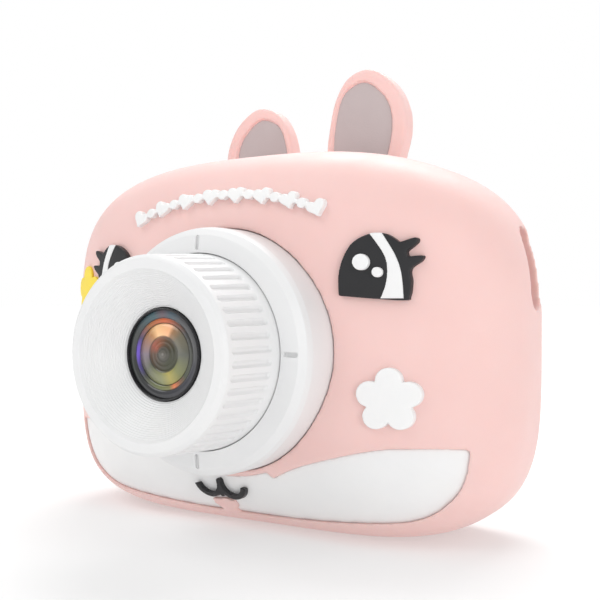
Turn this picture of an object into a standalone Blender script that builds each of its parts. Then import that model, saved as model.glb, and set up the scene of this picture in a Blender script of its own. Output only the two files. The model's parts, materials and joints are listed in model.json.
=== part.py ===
"""A kids' digital camera in a soft rabbit sleeve, as separate solids.

The camera stands on the flat underside of its sleeve, centred on the origin, and looks along -Y.
Every piece is a child of one empty at the centre of the lens, on the front of the sleeve. In that
lens frame x is to the viewer's right, y runs back into the camera and z is up.
"""

import math

import bmesh
import bpy
import mathutils

MM = 0.001

# Lens frame in the world
SEAT_Y = -5.6 * MM  # the front of the sleeve, where the lens flange sits
LENS_HEIGHT = 29.6 * MM  # the lens axis above the resting face

# Outer form of the sleeve: a superellipse outline, rounded towards the front and the back
HALF_WIDTH = 44.0 * MM
MIDDLE_RISE = 5.5 * MM  # the widest level, above the lens axis
TOP_RISE = 27.4 * MM
BOTTOM_DROP = 36.0 * MM
TOP_POWER = 2.8
BOTTOM_POWER = 4.5
WIDEST_Y = 21.5 * MM
FRONT_DEPTH = 22.1 * MM
BACK_DEPTH = 9.0 * MM
SIDE_CROWN, CAP_CROWN = 2.3, 4.7  # how flat the front is across, and up and down
SIDE_EDGE, TOP_EDGE, BOTTOM_EDGE = 2.8, 3.8, 3.0  # how square the front edge is
BACK_EDGE = 4.3

SLEEVE_WALL = 2.6 * MM
FIT_GAP = 0.3 * MM
CASE_WALL = 1.5 * MM
CASE_GROW = -(SLEEVE_WALL + FIT_GAP)
INNER_GROW = CASE_GROW - CASE_WALL
CASE_SPLIT_Y = 17.0 * MM
CASE_GRID, HOLLOW_GRID = (36, 16), (28, 14)  # points round and along the hidden surfaces
REAR_OPENING = 0.84  # rear opening of the sleeve, as a share of its outline
PANEL_Y = 30.2 * MM

# Lens, as radii and distances in front of the seat
FLANGE_RADIUS = 19.4 * MM
FLANGE_FACE = 7.3 * MM
FLANGE_SHOULDER = 5.3 * MM
RING_BASE_RADIUS = 15.0 * MM
RING_RIM_RADIUS = 13.9 * MM
RING_FRONT = 19.5 * MM
DISH_RADIUS = 12.05 * MM
DISH_FLOOR = 15.1 * MM
BEZEL_RADIUS = 7.0 * MM
HUB_RADIUS = 8.9 * MM
GRIP_GROOVES = 48

# Face
OVERLAY_GAP = 0.15 * MM
OVERLAY_RAISE = 0.9 * MM
BIB_SINK = 0.5 * MM
BIB_FLOOR = 1.5 * MM
LEFT_EYE_SHIFT = 2.2 * MM
LARGE_GLINT, LARGE_GLINT_RADIUS = (24.3 * MM, 13.4 * MM), 1.2 * MM
SMALL_GLINT, SMALL_GLINT_RADIUS = (26.6 * MM, 11.9 * MM), 0.75 * MM
FLOWER_RADIUS = 4.75 * MM
CHEEK_FLOWER = (27.9 * MM, -6.7 * MM)
YELLOW_FLOWER = (-33.9 * MM, 9.6 * MM)
YELLOW_RAISE = 0.5 * MM
MOUTH_X, MOUTH_Z = -2.0 * MM, -21.6 * MM
MOUTH_BOW = 2.3 * MM
MOUTH_STROKE = 0.85 * MM
MOUTH_STEM = 3.2 * MM
GARLAND_RADIUS = 51.0 * MM
GARLAND_CENTRE_Z = -26.3 * MM
GARLAND_SPAN = math.radians(39.0)
GARLAND_MARKS = 15
EAR_FRONT_Y = 26.3 * MM
EAR_BACK_Y = 30.4 * MM
EAR_BOTTOM = 31.5 * MM
INLAY_BOTTOM = 33.3 * MM
LEFT_EAR_SHIFT = 1.2 * MM
LEFT_EAR_DROP = 4.5 * MM

# Controls
BUTTON_CROWN = 0.1 * MM  # how far the top buttons stand out of the sleeve
TOP_BUTTON_X = 22.6 * MM
TOP_BUTTON_Y = 21.0 * MM
KEY_X, KEY_Z = 26.7 * MM, -1.0 * MM
ARROW_REACH = 5.9 * MM
DISPLAY_CENTRE = (-6.5 * MM, 1.0 * MM)
DISPLAY_SIZE = (46.0 * MM, 33.0 * MM)
SELF_VIEW = (-6.5 * MM, 23.8 * MM)

STRAP_Y = 24.0 * MM
STRAP_Z = 12.9 * MM
PIN_X = 36.6 * MM
CARD_Z, CARD_Y = -1.6 * MM, 22.6 * MM
USB_Z = -12.9 * MM

UPPER_SCREW = (27.4 * MM, 20.9 * MM)
LOWER_SCREW = (27.6 * MM, -19.3 * MM)

# Shells whose walls follow a curved offset all over, where the exact solver leaves open edges
THIN_SHELLS = {"silicone_sleeve", "front_shell", "rear_shell", "case_hollow", "ear_right", "ear_left"}

FACE_ON = (math.pi / 2, 0.0, 0.0)  # local y up, local z towards the viewer
SIDE_ON = (math.pi / 2, 0.0, math.pi / 2)  # local x back, local y up, local z to +X

PINK = (0.93, 0.61, 0.57)
CASE_PINK = (0.86, 0.50, 0.47)
WHITE = (0.90, 0.90, 0.90)
CHARCOAL = (0.035, 0.035, 0.038)
BLACK = (0.012, 0.012, 0.014)
EAR_GREY = (0.60, 0.53, 0.53)
YELLOW = (0.98, 0.78, 0.09)
STEEL = (0.62, 0.62, 0.64)
BOARD_GREEN = (0.03, 0.20, 0.09)
FOIL = (0.55, 0.56, 0.60)
GLASS = (0.03, 0.03, 0.05)


# Scene and materials


def clear_scene():
    for obj in list(bpy.data.objects):
        bpy.data.objects.remove(obj)


def new_collection(name):
    made = bpy.data.collections.new(name)
    bpy.context.scene.collection.children.link(made)
    return made


def principled(name, colour, roughness, metallic=0.0):
    made = bpy.data.materials.new(name)
    made.use_nodes = True
    shader = made.node_tree.nodes["Principled BSDF"]
    shader.inputs["Base Color"].default_value = (*colour, 1.0)
    shader.inputs["Roughness"].default_value = roughness
    shader.inputs["Metallic"].default_value = metallic
    return made


def link(name, mesh, collection, rotation=(0.0, 0.0, 0.0), location=(0.0, 0.0, 0.0)):
    made = bpy.data.objects.new(name, mesh)
    collection.objects.link(made)
    made.parent = lens_frame
    made.rotation_euler = rotation
    made.location = location
    return made


def cutter(name, mesh, rotation=(0.0, 0.0, 0.0), location=(0.0, 0.0, 0.0)):
    made = link(name, mesh, cutters, rotation, location)
    made.hide_render = True
    made.display_type = "WIRE"
    return made


def part(name, mesh, material, rotation=(0.0, 0.0, 0.0), location=(0.0, 0.0, 0.0)):
    made = link(name, mesh, camera, rotation, location)
    mesh.materials.clear()
    mesh.materials.append(material)
    mesh.shade_smooth()
    mesh.set_sharp_from_angle(angle=math.radians(40))
    return made


def combine(target, other, operation):
    """Adds a Boolean with one other object and returns the target."""
    made = target.modifiers.new(operation.title() + "_" + other.name, "BOOLEAN")
    made.operation = operation
    made.object = other
    made.solver = "MANIFOLD" if target.name in THIN_SHELLS else "EXACT"
    return target


def cut(target, *others):
    for other in others:
        combine(target, other, "DIFFERENCE")
    return target


def join(target, *others):
    for other in others:
        combine(target, other, "UNION")
    return target


# Basic meshes


def box_mesh(size):
    mesh = bpy.data.meshes.new("box")
    shape = bmesh.new()
    bmesh.ops.create_cube(shape, size=1.0)
    bmesh.ops.scale(shape, verts=shape.verts, vec=size)
    shape.to_mesh(mesh)
    shape.free()
    return mesh


def rounded_box_mesh(size, radius, segments=2):
    mesh = box_mesh(size)
    shape = bmesh.new()
    shape.from_mesh(mesh)
    bmesh.ops.bevel(
        shape, geom=shape.edges, offset=radius, segments=segments, profile=0.5, affect="EDGES"
    )
    shape.to_mesh(mesh)
    shape.free()
    return mesh


def disc_mesh(radius, depth, segments=24):
    """A cylinder about local z, centred."""
    mesh = bpy.data.meshes.new("disc")
    shape = bmesh.new()
    bmesh.ops.create_cone(
        shape, cap_ends=True, segments=segments, radius1=radius, radius2=radius, depth=depth
    )
    shape.to_mesh(mesh)
    shape.free()
    return mesh


def turned_mesh(profile, steps=48):
    """A closed profile of (radius, height), turned about local z. It runs down its outer side."""
    mesh = bpy.data.meshes.new("turned")
    shape = bmesh.new()
    corners = [shape.verts.new((radius, 0.0, height)) for radius, height in profile]
    on_axis = profile[0][0] == 0.0 and profile[-1][0] == 0.0
    pairs = list(zip(corners, corners[1:]))
    if not on_axis:
        pairs.append((corners[-1], corners[0]))
    for pair in pairs:
        shape.edges.new(pair)
    shape.to_mesh(mesh)
    shape.free()
    guide = cutter("turning", mesh)
    screw = guide.modifiers.new("Turn", "SCREW")
    screw.angle = math.tau
    screw.steps = steps
    screw.render_steps = steps
    screw.use_merge_vertices = True
    screw.merge_threshold = 0.00001
    screw.use_normal_calculate = True
    return taken_mesh(guide)


def taken_mesh(guide):
    """The evaluated mesh of a guide object, which is then removed."""
    bpy.context.view_layer.update()
    graph = bpy.context.evaluated_depsgraph_get()
    mesh = bpy.data.meshes.new_from_object(guide.evaluated_get(graph))
    bpy.data.objects.remove(guide)
    shape = bmesh.new()
    shape.from_mesh(mesh)
    bmesh.ops.remove_doubles(shape, verts=shape.verts, dist=0.000002)
    bmesh.ops.recalc_face_normals(shape, faces=shape.faces)
    shape.to_mesh(mesh)
    shape.free()
    return mesh


def plate_mesh(outline, depth):
    """A flat outline of (x, y), extruded along local z and centred on it."""
    curve = bpy.data.curves.new("outline", "CURVE")
    curve.dimensions = "2D"
    curve.fill_mode = "BOTH"
    curve.extrude = depth / 2
    spline = curve.splines.new("POLY")
    spline.points.add(len(outline) - 1)
    for point, (x, y) in zip(spline.points, outline):
        point.co = (x, y, 0.0, 1.0)
    spline.use_cyclic_u = True
    guide = bpy.data.objects.new("outline", curve)
    cutters.objects.link(guide)
    return taken_mesh(guide)


def front_part(name, outline, y_front, y_back, material):
    """A face-on plate between two depths."""
    mesh = plate_mesh(outline, y_back - y_front)
    return part(name, mesh, material, FACE_ON, (0.0, (y_front + y_back) / 2, 0.0))


def front_cutter(name, outline, y_front, y_back):
    mesh = plate_mesh(outline, y_back - y_front)
    return cutter(name, mesh, FACE_ON, (0.0, (y_front + y_back) / 2, 0.0))


def box_cutter(name, low, high):
    size = [high[axis] - low[axis] for axis in range(3)]
    centre = [(high[axis] + low[axis]) / 2 for axis in range(3)]
    return cutter(name, box_mesh(size), location=centre)


def round_cutter(name, radius, y_front, y_back, x=0.0, z=0.0, segments=24):
    mesh = disc_mesh(radius, y_back - y_front, segments)
    return cutter(name, mesh, FACE_ON, (x, (y_front + y_back) / 2, z))


def round_part(name, radius, y_front, y_back, material, x=0.0, z=0.0, segments=24):
    mesh = disc_mesh(radius, y_back - y_front, segments)
    return part(name, mesh, material, FACE_ON, (x, (y_front + y_back) / 2, z))


def box_part(name, low, high, material):
    size = [high[axis] - low[axis] for axis in range(3)]
    centre = [(high[axis] + low[axis]) / 2 for axis in range(3)]
    return part(name, box_mesh(size), material, location=centre)


# Outlines, as lists of (x, z)


def smooth_outline(points, steps=5):
    """A closed Catmull-Rom curve through the points. A point with a third value of 0 is a corner."""
    outline = []
    count = len(points)
    for i, point in enumerate(points):
        before, after = points[i - 1], points[(i + 1) % count]
        beyond = points[(i + 2) % count]
        start_slope = slope_at(before, point, after)
        end_slope = slope_at(point, after, beyond)
        for step in range(steps):
            t = step / steps
            outline.append(
                tuple(
                    (2 * t**3 - 3 * t**2 + 1) * point[axis]
                    + (t**3 - 2 * t**2 + t) * start_slope[axis]
                    + (3 * t**2 - 2 * t**3) * after[axis]
                    + (t**3 - t**2) * end_slope[axis]
                    for axis in (0, 1)
                )
            )
    return outline


def slope_at(before, point, after):
    if len(point) == 3:
        return (0.0, 0.0)
    return tuple((after[axis] - before[axis]) / 2 for axis in (0, 1))


def in_mm(points):
    """Points given in millimetres, in metres. A corner keeps its mark."""
    return [(p[0] * MM, p[1] * MM, *p[2:]) for p in points]


def mirrored(outline, shift=0.0, drop=0.0):
    """The outline on the other side of the face, in the same turning direction."""
    return [(-x + shift, z - drop) for x, z in reversed(outline)]


def grown(outline, distance):
    """The outline moved outwards, for a counter-clockwise outline."""
    moved = []
    count = len(outline)
    for i, (x, z) in enumerate(outline):
        before, after = outline[i - 1], outline[(i + 1) % count]
        run, rise = after[0] - before[0], after[1] - before[1]
        length = math.hypot(run, rise) or 1.0
        moved.append((x + rise / length * distance, z - run / length * distance))
    return moved


def capsule(length, width, steps=6, turn=0.0, centre=(0.0, 0.0)):
    """A bar with round ends, along x before it is turned."""
    half, radius = (length - width) / 2, width / 2
    outline = []
    for side, start in ((1, -math.pi / 2), (-1, math.pi / 2)):
        for step in range(steps + 1):
            angle = start + math.pi * step / steps
            outline.append((side * half + radius * math.cos(angle), radius * math.sin(angle)))
    return [
        (
            centre[0] + x * math.cos(turn) - z * math.sin(turn),
            centre[1] + x * math.sin(turn) + z * math.cos(turn),
        )
        for x, z in outline
    ]


def circle(radius, centre=(0.0, 0.0), steps=16):
    return [
        (
            centre[0] + radius * math.cos(math.tau * step / steps),
            centre[1] + radius * math.sin(math.tau * step / steps),
        )
        for step in range(steps)
    ]


def rounded_rectangle(width, height, radius, centre=(0.0, 0.0), steps=4):
    outline = []
    for quarter, (sx, sz) in enumerate(((1, 1), (-1, 1), (-1, -1), (1, -1))):
        for step in range(steps + 1):
            angle = math.pi / 2 * (quarter + step / steps)
            outline.append(
                (
                    centre[0] + sx * (width / 2 - radius) + radius * math.cos(angle),
                    centre[1] + sz * (height / 2 - radius) + radius * math.sin(angle),
                )
            )
    return outline


def flower(radius, centre, steps=40, petals=5):
    """Five round petals, one of them pointing up."""
    outline = []
    for step in range(steps):
        angle = math.tau * step / steps
        lobe = abs(math.sin(petals / 2 * (angle - math.pi / 2 + math.pi / petals)))
        reach = radius * (0.64 + 0.36 * lobe**0.7)
        outline.append((centre[0] + reach * math.cos(angle), centre[1] + reach * math.sin(angle)))
    return outline


def heart(size, centre, turn, steps=12):
    outline = []
    for step in range(steps):
        t = math.tau * step / steps
        x = math.sin(t) ** 3
        z = (13 * math.cos(t) - 5 * math.cos(2 * t) - 2 * math.cos(3 * t) - math.cos(4 * t)) / 16
        outline.append(
            (
                centre[0] - size / 2 * (x * math.cos(turn) + z * math.sin(turn)),
                centre[1] + size / 2 * (z * math.cos(turn) - x * math.sin(turn)),
            )
        )
    return outline


# The outer form


def form_reach(angle, grow):
    """(distance from the centre to the outline, share of the rise in it) in one direction."""
    across, up = math.cos(angle), math.sin(angle)
    power = TOP_POWER if up >= 0 else BOTTOM_POWER
    tall = (TOP_RISE if up >= 0 else BOTTOM_DROP) + grow
    wide_term = abs(across / (HALF_WIDTH + grow)) ** power
    tall_term = abs(up / tall) ** power
    return (wide_term + tall_term) ** (-1 / power), tall_term / (wide_term + tall_term)


def form_mesh(grow, around=48, along=22):
    """The sleeve's outer form moved outwards by grow, as a ball whose points are moved onto it."""
    mesh = bpy.data.meshes.new("form")
    shape = bmesh.new()
    bmesh.ops.create_uvsphere(shape, u_segments=around, v_segments=along, radius=1.0)
    for vert in shape.verts:
        across, up, ahead = vert.co
        spread = min(math.hypot(across, up), 1.0)
        reach, share = form_reach(math.atan2(up, across), grow)
        if ahead >= 0:
            edge = TOP_EDGE if up >= 0 else BOTTOM_EDGE
            crown = SIDE_CROWN + (CAP_CROWN - SIDE_CROWN) * share
            square = SIDE_EDGE + (edge - SIDE_EDGE) * share
            scale = spread ** (2 / crown)
            y = WIDEST_Y - (FRONT_DEPTH + grow) * ahead ** (2 / square)
        else:
            scale = spread ** (2 / BACK_EDGE)
            y = WIDEST_Y + (BACK_DEPTH + grow) * (-ahead) ** (2 / BACK_EDGE)
        length = math.hypot(across, up) or 1.0
        vert.co = (reach * scale * across / length, MIDDLE_RISE + reach * scale * up / length, -y)
    shape.to_mesh(mesh)
    shape.free()
    return mesh


def form_outline(share, grow=0.0, steps=44):
    outline = []
    for step in range(steps):
        angle = math.tau * step / steps
        reach = form_reach(angle, grow)[0] * share
        outline.append((reach * math.cos(angle), MIDDLE_RISE + reach * math.sin(angle)))
    return outline


def top_slope(x):
    """(height of the sleeve's top, its tilt) at x."""
    share = abs(x) / HALF_WIDTH
    rest = 1 - share**TOP_POWER
    height = MIDDLE_RISE + TOP_RISE * rest ** (1 / TOP_POWER)
    fall = TOP_RISE / HALF_WIDTH * rest ** (1 / TOP_POWER - 1) * share ** (TOP_POWER - 1)
    return height, math.copysign(math.atan(fall), x)


# The face


def eye_outline():
    """The right eye: a half-round base, with two lashes at its outer corner."""
    points = [
        (20.7, 8.5, 0), (29.7, 7.8), (30.8, 8.4), (31.1, 10.4), (31.0, 12.3), (32.4, 13.5),
        (32.6, 14.3), (30.6, 14.1, 0), (30.5, 14.9, 0), (31.9, 16.2), (31.6, 16.9), (29.5, 16.2, 0),
        (27.6, 17.5), (25.2, 17.5), (22.7, 16.1), (21.1, 13.2), (20.6, 10.4),
    ]
    return smooth_outline(in_mm(points), steps=3)


def eye_white_outline():
    points = [
        (26.9, 8.4, 0), (30.0, 8.3, 0), (29.7, 11.8), (28.8, 14.6), (27.2, 17.0, 0), (25.6, 17.0, 0),
        (27.4, 14.6), (27.9, 12.2), (27.6, 10.0),
    ]
    return smooth_outline(in_mm(points), steps=3)


def bib_outline():
    """The bib from cheek to cheek, open round the flange, with a notch for the tongue."""
    notch = [
        (-3.7, -27.0, 0), (-4.9, -25.7), (-4.9, -24.7, 0), (-2.0, -24.4, 0), (-0.5, -24.7, 0),
        (-0.6, -25.7),
    ]
    cheek = [
        (11.0, -26.9), (25.3, -25.8), (31.0, -24.6), (35.0, -21.9), (37.2, -18.4), (38.0, -13.9, 0),
        (31.4, -13.8), (24.6, -14.4), (13.8, -17.4), (8.4, -19.9, 0), (7.4, -18.9, 0),
    ]
    far_cheek = [(-point[0], *point[1:]) for point in reversed(cheek)]
    reach, start = math.hypot(*cheek[-1][:2]), math.atan2(-cheek[-1][1], cheek[-1][0])
    arc = []
    for step in range(1, 10):
        angle = start + (math.pi - 2 * start) * step / 10
        arc.append((reach * math.cos(angle), -reach * math.sin(angle), 0))
    return smooth_outline(in_mm([*notch, (-1.8, -27.0, 0), *cheek, *arc, *far_cheek]), steps=3)


def mouth_pieces():
    """Stem and two arms of the mouth, as overlapping bars and bows."""
    stem_centre = (MOUTH_X, MOUTH_Z - MOUTH_STEM / 4)
    stem = capsule(MOUTH_STEM, MOUTH_STROKE, turn=math.pi / 2, centre=stem_centre)
    inner_radius, outer_radius = MOUTH_BOW - MOUTH_STROKE / 2, MOUTH_BOW + MOUTH_STROKE / 2
    bows = []
    for side in (-1, 1):
        middle = (MOUTH_X + side * MOUTH_BOW, MOUTH_Z)
        outer, inner = [], []
        for step in range(9):
            turn = math.pi * (0.06 + 0.94 * step / 8)
            angle = math.pi + turn if side < 0 else -turn
            outer.append(polar(middle, outer_radius, angle))
            inner.append(polar(middle, inner_radius, angle))
        bow = outer + inner[::-1]
        bows.append(bow if side < 0 else bow[::-1])
    return [stem, *bows]


def polar(centre, radius, angle):
    return (centre[0] + radius * math.cos(angle), centre[1] + radius * math.sin(angle))


def ear_outline():
    """The right ear, from its root inside the sleeve to its tip."""
    points = [
        (3.6, 28.6, 0), (17.2, 28.6, 0), (18.6, 33.2), (19.8, 38.2), (19.3, 42.6), (16.9, 46.8),
        (12.6, 49.5), (8.3, 48.4), (5.6, 44.4), (4.3, 38.6), (3.7, 33.2),
    ]
    return smooth_outline(in_mm(points), steps=4)


def ear_inlay_outline():
    points = [
        (5.2, 33.4, 0), (16.1, 33.4, 0), (17.0, 37.4), (16.9, 41.4), (15.3, 44.6), (12.0, 47.1),
        (8.9, 46.5), (6.8, 44.2), (5.6, 39.0),
    ]
    return smooth_outline(in_mm(points), steps=4)


def garland_outlines():
    """An arc of hearts and beads over the lens, strung on a thin band."""
    band_half = 0.3 * MM
    upper, lower, marks = [], [], []
    for step in range(GARLAND_MARKS):
        angle = math.pi / 2 + GARLAND_SPAN * (0.5 - step / (GARLAND_MARKS - 1))
        centre = polar((0.0, GARLAND_CENTRE_Z), GARLAND_RADIUS, angle)
        upper.append(polar((0.0, GARLAND_CENTRE_Z), GARLAND_RADIUS + band_half, angle))
        lower.append(polar((0.0, GARLAND_CENTRE_Z), GARLAND_RADIUS - band_half, angle))
        if step % 2:
            marks.append(circle(0.8 * MM, centre, steps=10))
        else:
            marks.append(heart(3.0 * MM, centre, math.pi / 2 - angle))
    return [lower + upper[::-1], *marks]


def form(grow):
    """The form cutter for one offset, made once."""
    name = f"form_{grow / MM:+.2f}"
    return bpy.data.objects.get(name) or cutter(name, form_mesh(grow), FACE_ON)


def overlay(name, outlines, material, raise_by=OVERLAY_RAISE, base=OVERLAY_GAP):
    """A skin on the sleeve in the shape of the outlines, between two offsets of the form."""
    y_front, y_back = -6.0 * MM, 13.0 * MM
    made = front_part(name, outlines[0], y_front, y_back, material)
    for count, outline in enumerate(outlines[1:], start=1):
        join(made, front_cutter(f"{name}_{count}", outline, y_front, y_back))
    combine(made, form(raise_by), "INTERSECT")
    return cut(made, form(base))


# Sleeve


def make_sleeve():
    sleeve = part("silicone_sleeve", form_mesh(0.0), pink, FACE_ON)
    far = 80 * MM
    floor = box_cutter("sleeve_floor", (-far, -far, -far), (far, far, -LENS_HEIGHT))
    cut(sleeve, floor, cutter("sleeve_cavity", form_mesh(-SLEEVE_WALL, *CASE_GRID), FACE_ON))
    rear_opening = front_cutter("sleeve_rear_opening", form_outline(REAR_OPENING), 24 * MM, 40 * MM)
    cut(sleeve, rear_opening)
    cut(sleeve, round_cutter("sleeve_lens_hole", FLANGE_RADIUS + FIT_GAP, -9 * MM, 9 * MM, segments=64))
    pocket = front_cutter("bib_pocket", grown(bib_outline(), OVERLAY_GAP), -6 * MM, 13 * MM)
    cut(sleeve, cut(pocket, form(-BIB_FLOOR)))
    for side in (-1, 1):
        cut(sleeve, side_cutter(f"sleeve_slot_{side}", side, STRAP_Y, STRAP_Z, 7.2 * MM, 13.2 * MM, 36 * MM))
    window = side_cutter("sleeve_port_window", -1, CARD_Y, -6.9 * MM, 6.4 * MM, 23.2 * MM, 33 * MM)
    cut(sleeve, window)
    for side in (-1, 1):
        cut(sleeve, top_round(f"sleeve_button_hole_{side}", side, 3.7 * MM, -6 * MM, 4 * MM))
    return sleeve


def make_ears():
    """Two flat ears behind the crown, each with an inlay in its front."""
    inlays = ear_inlay_outlines()
    for side, outline in ear_outlines().items():
        ear = front_part(f"ear_{side}", outline, EAR_FRONT_Y, EAR_BACK_Y, pink)
        soften = ear.modifiers.new("Soften", "BEVEL")
        soften.width = 1.2 * MM
        soften.segments = 2
        soften.limit_method = "ANGLE"
        soften.angle_limit = math.radians(60)
        far = 60 * MM
        root = box_cutter(f"ear_root_{side}", (-far, 0.0, 0.0), (far, 45 * MM, EAR_BOTTOM))
        pocket = grown(inlays[side], OVERLAY_GAP)
        cut(ear, root, form(FIT_GAP), front_cutter(f"inlay_pocket_{side}", pocket, 24 * MM, 27.3 * MM))
        front_part(f"ear_inlay_{side}", inlays[side], 26.7 * MM, 27.15 * MM, ear_grey)


def ear_outlines():
    right = ear_outline()
    return {"right": right, "left": mirrored(right, LEFT_EAR_SHIFT, LEFT_EAR_DROP)}


def ear_inlay_outlines():
    """Both inlays, ending just above the crown of the sleeve."""
    right = ear_inlay_outline()
    left = mirrored(right, LEFT_EAR_SHIFT, LEFT_EAR_DROP)
    return {"right": right, "left": [(x, z) for x, z in left if z >= INLAY_BOTTOM]}


def side_cutter(name, side, y, z, width, height, inner, outer=50 * MM):
    """A rounded slot through a side wall, between two distances from the middle plane."""
    outline = rounded_rectangle(width, height, min(width, height) * 0.45)
    mesh = plate_mesh(outline, outer - inner)
    return cutter(name, mesh, SIDE_ON, (side * (inner + outer) / 2, y, z))


def top_round_place(side, low, high):
    """(rotation, location) of a round piece on the top, low and high along the tilted axis."""
    height, tilt = top_slope(side * TOP_BUTTON_X)
    middle = (low + high) / 2
    x = side * TOP_BUTTON_X + middle * math.sin(tilt)
    return (0.0, tilt, 0.0), (x, TOP_BUTTON_Y, height + middle * math.cos(tilt))


def top_round(name, side, radius, low, high):
    rotation, location = top_round_place(side, low, high)
    return cutter(name, disc_mesh(radius, high - low, 32), rotation, location)


def make_face():
    eye = eye_outline()
    white_band = eye_white_outline()
    glints = {
        "large": circle(LARGE_GLINT_RADIUS, LARGE_GLINT, 20),
        "small": circle(SMALL_GLINT_RADIUS, SMALL_GLINT, 16),
    }
    for side in ("right", "left"):
        place = (lambda o: o) if side == "right" else (lambda o: mirrored(o, LEFT_EYE_SHIFT))
        base = overlay(f"eye_{side}", [place(eye)], charcoal)
        pocket = front_cutter(
            f"eye_white_pocket_{side}", grown(place(white_band), OVERLAY_GAP), -7 * MM, 14 * MM
        )
        cut(base, cut(pocket, form(0.45 * MM)))
        overlay(f"eye_white_{side}", [place(white_band)], white, OVERLAY_RAISE, 0.55 * MM)
        for size, outline in glints.items():
            overlay(f"eye_glint_{size}_{side}", [place(outline)], white, 1.6 * MM, 1.0 * MM)
    overlay("cheek_flower", [flower(FLOWER_RADIUS, CHEEK_FLOWER)], white)
    overlay("yellow_flower", [flower(FLOWER_RADIUS, YELLOW_FLOWER)], yellow, YELLOW_RAISE)
    overlay("garland", garland_outlines(), white, 1.1 * MM)
    overlay("bib", [bib_outline()], white, -BIB_SINK, -(BIB_FLOOR - OVERLAY_GAP))
    overlay("mouth", mouth_pieces(), charcoal, 0.3 * MM, -(BIB_SINK - OVERLAY_GAP))


# Lens


def make_lens():
    part("lens_flange", flange_mesh(), white, FACE_ON)
    for quarter in range(4):
        angle = math.pi / 2 * quarter
        reach = 17.4 * MM
        outline = capsule(2.4 * MM, 0.8 * MM, 4, angle, polar((0.0, 0.0), reach, angle))
        mark = front_cutter(f"index_mark_{quarter}", outline, -9 * MM, -5.6 * MM)
        cut(bpy.data.objects["lens_flange"], mark)
    ring = part("focus_ring", turned_mesh(ring_profile(), GRIP_GROOVES), white, FACE_ON)
    cut(ring, groove_cutter())
    part("lens_bezel", turned_mesh(bezel_profile(), 40), black, FACE_ON)
    part("lens_window", turned_mesh(window_profile(), 32), glass, FACE_ON)
    part("lens_barrel", turned_mesh(barrel_profile(), 28), black, FACE_ON)
    part("front_lens_element", turned_mesh(lens_profile(4.3 * MM, 10.0 * MM, 1.0 * MM), 28), glass, FACE_ON)
    part("rear_lens_element", turned_mesh(lens_profile(2.9 * MM, 3.0 * MM, 0.6 * MM), 20), glass, FACE_ON)
    box_part("image_sensor", (-3.2 * MM, 5.6 * MM, -2.6 * MM), (3.2 * MM, 6.7 * MM, 2.6 * MM), foil)
    box_part("sensor_board", (-7.5 * MM, 7.0 * MM, -7.5 * MM), (7.5 * MM, 8.0 * MM, 7.5 * MM), board_green)


def flange_mesh():
    recess = RING_BASE_RADIUS + FIT_GAP
    bore = BEZEL_RADIUS + FIT_GAP
    crest = FLANGE_RADIUS - 0.3 * MM
    profile = [
        (bore, 13.0 * MM), (HUB_RADIUS, 13.0 * MM), (HUB_RADIUS, 6.4 * MM), (recess, 6.4 * MM),
        (recess, FLANGE_FACE), (crest - 2 * MM, 6.3 * MM), (crest - 0.4 * MM, FLANGE_SHOULDER + 0.3 * MM),
        (crest, FLANGE_SHOULDER - 0.1 * MM), (FLANGE_RADIUS, 0.0), (FLANGE_RADIUS, -1.7 * MM),
        (6.4 * MM, -1.7 * MM), (6.4 * MM, 2.4 * MM), (bore, 2.4 * MM),
    ]
    return turned_mesh(profile, 48)


def ring_profile():
    bore = HUB_RADIUS + FIT_GAP
    base = 6.7 * MM
    return [
        (12.6 * MM, RING_FRONT), (13.4 * MM, RING_FRONT - 0.2 * MM), (RING_RIM_RADIUS, RING_FRONT - 0.9 * MM),
        (RING_BASE_RADIUS, base), (13.2 * MM, base), (13.0 * MM, 17.4 * MM), (11.0 * MM, 16.0 * MM),
        (10.6 * MM, 15.0 * MM), (10.6 * MM, base), (bore, base), (bore, 13.3 * MM),
        (BEZEL_RADIUS + FIT_GAP, 13.3 * MM), (BEZEL_RADIUS + FIT_GAP, DISH_FLOOR),
        (DISH_RADIUS, RING_FRONT - 0.3 * MM),
    ]


def groove_cutter():
    """Round-ended bars all round the grip, joined in one mesh."""
    front, back = 17.7 * MM, 9.1 * MM
    top, bottom = ring_radius(front), ring_radius(back)
    bars = bmesh.new()
    for groove in range(GRIP_GROOVES):
        bar = bmesh.new()
        bmesh.ops.create_cone(
            bar, cap_ends=True, segments=6, radius1=0.36 * MM, radius2=0.36 * MM, depth=front - back
        )
        for vert in bar.verts:
            share = (vert.co.z + (front - back) / 2) / (front - back)
            vert.co.x += bottom + (top - bottom) * share + 0.02 * MM
            vert.co.z += (front + back) / 2
        turn = math.tau * (groove + 0.5) / GRIP_GROOVES
        bmesh.ops.rotate(bar, verts=bar.verts, matrix=mathutils.Matrix.Rotation(turn, 3, "Z"))
        mesh = bpy.data.meshes.new("bar")
        bar.to_mesh(mesh)
        bar.free()
        bars.from_mesh(mesh)
        bpy.data.meshes.remove(mesh)
    mesh = bpy.data.meshes.new("grooves")
    bars.to_mesh(mesh)
    bars.free()
    return cutter("grip_grooves", mesh, FACE_ON)


def ring_radius(height):
    front, base = RING_FRONT - 0.9 * MM, 6.7 * MM
    return RING_RIM_RADIUS + (RING_BASE_RADIUS - RING_RIM_RADIUS) * (front - height) / (front - base)


def bezel_profile():
    return [
        (6.4 * MM, 15.5 * MM), (BEZEL_RADIUS, 15.2 * MM), (BEZEL_RADIUS, 3.0 * MM), (6.1 * MM, 3.0 * MM),
        (6.1 * MM, 14.0 * MM), (5.6 * MM, 14.0 * MM), (5.6 * MM, 14.8 * MM),
    ]


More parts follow.
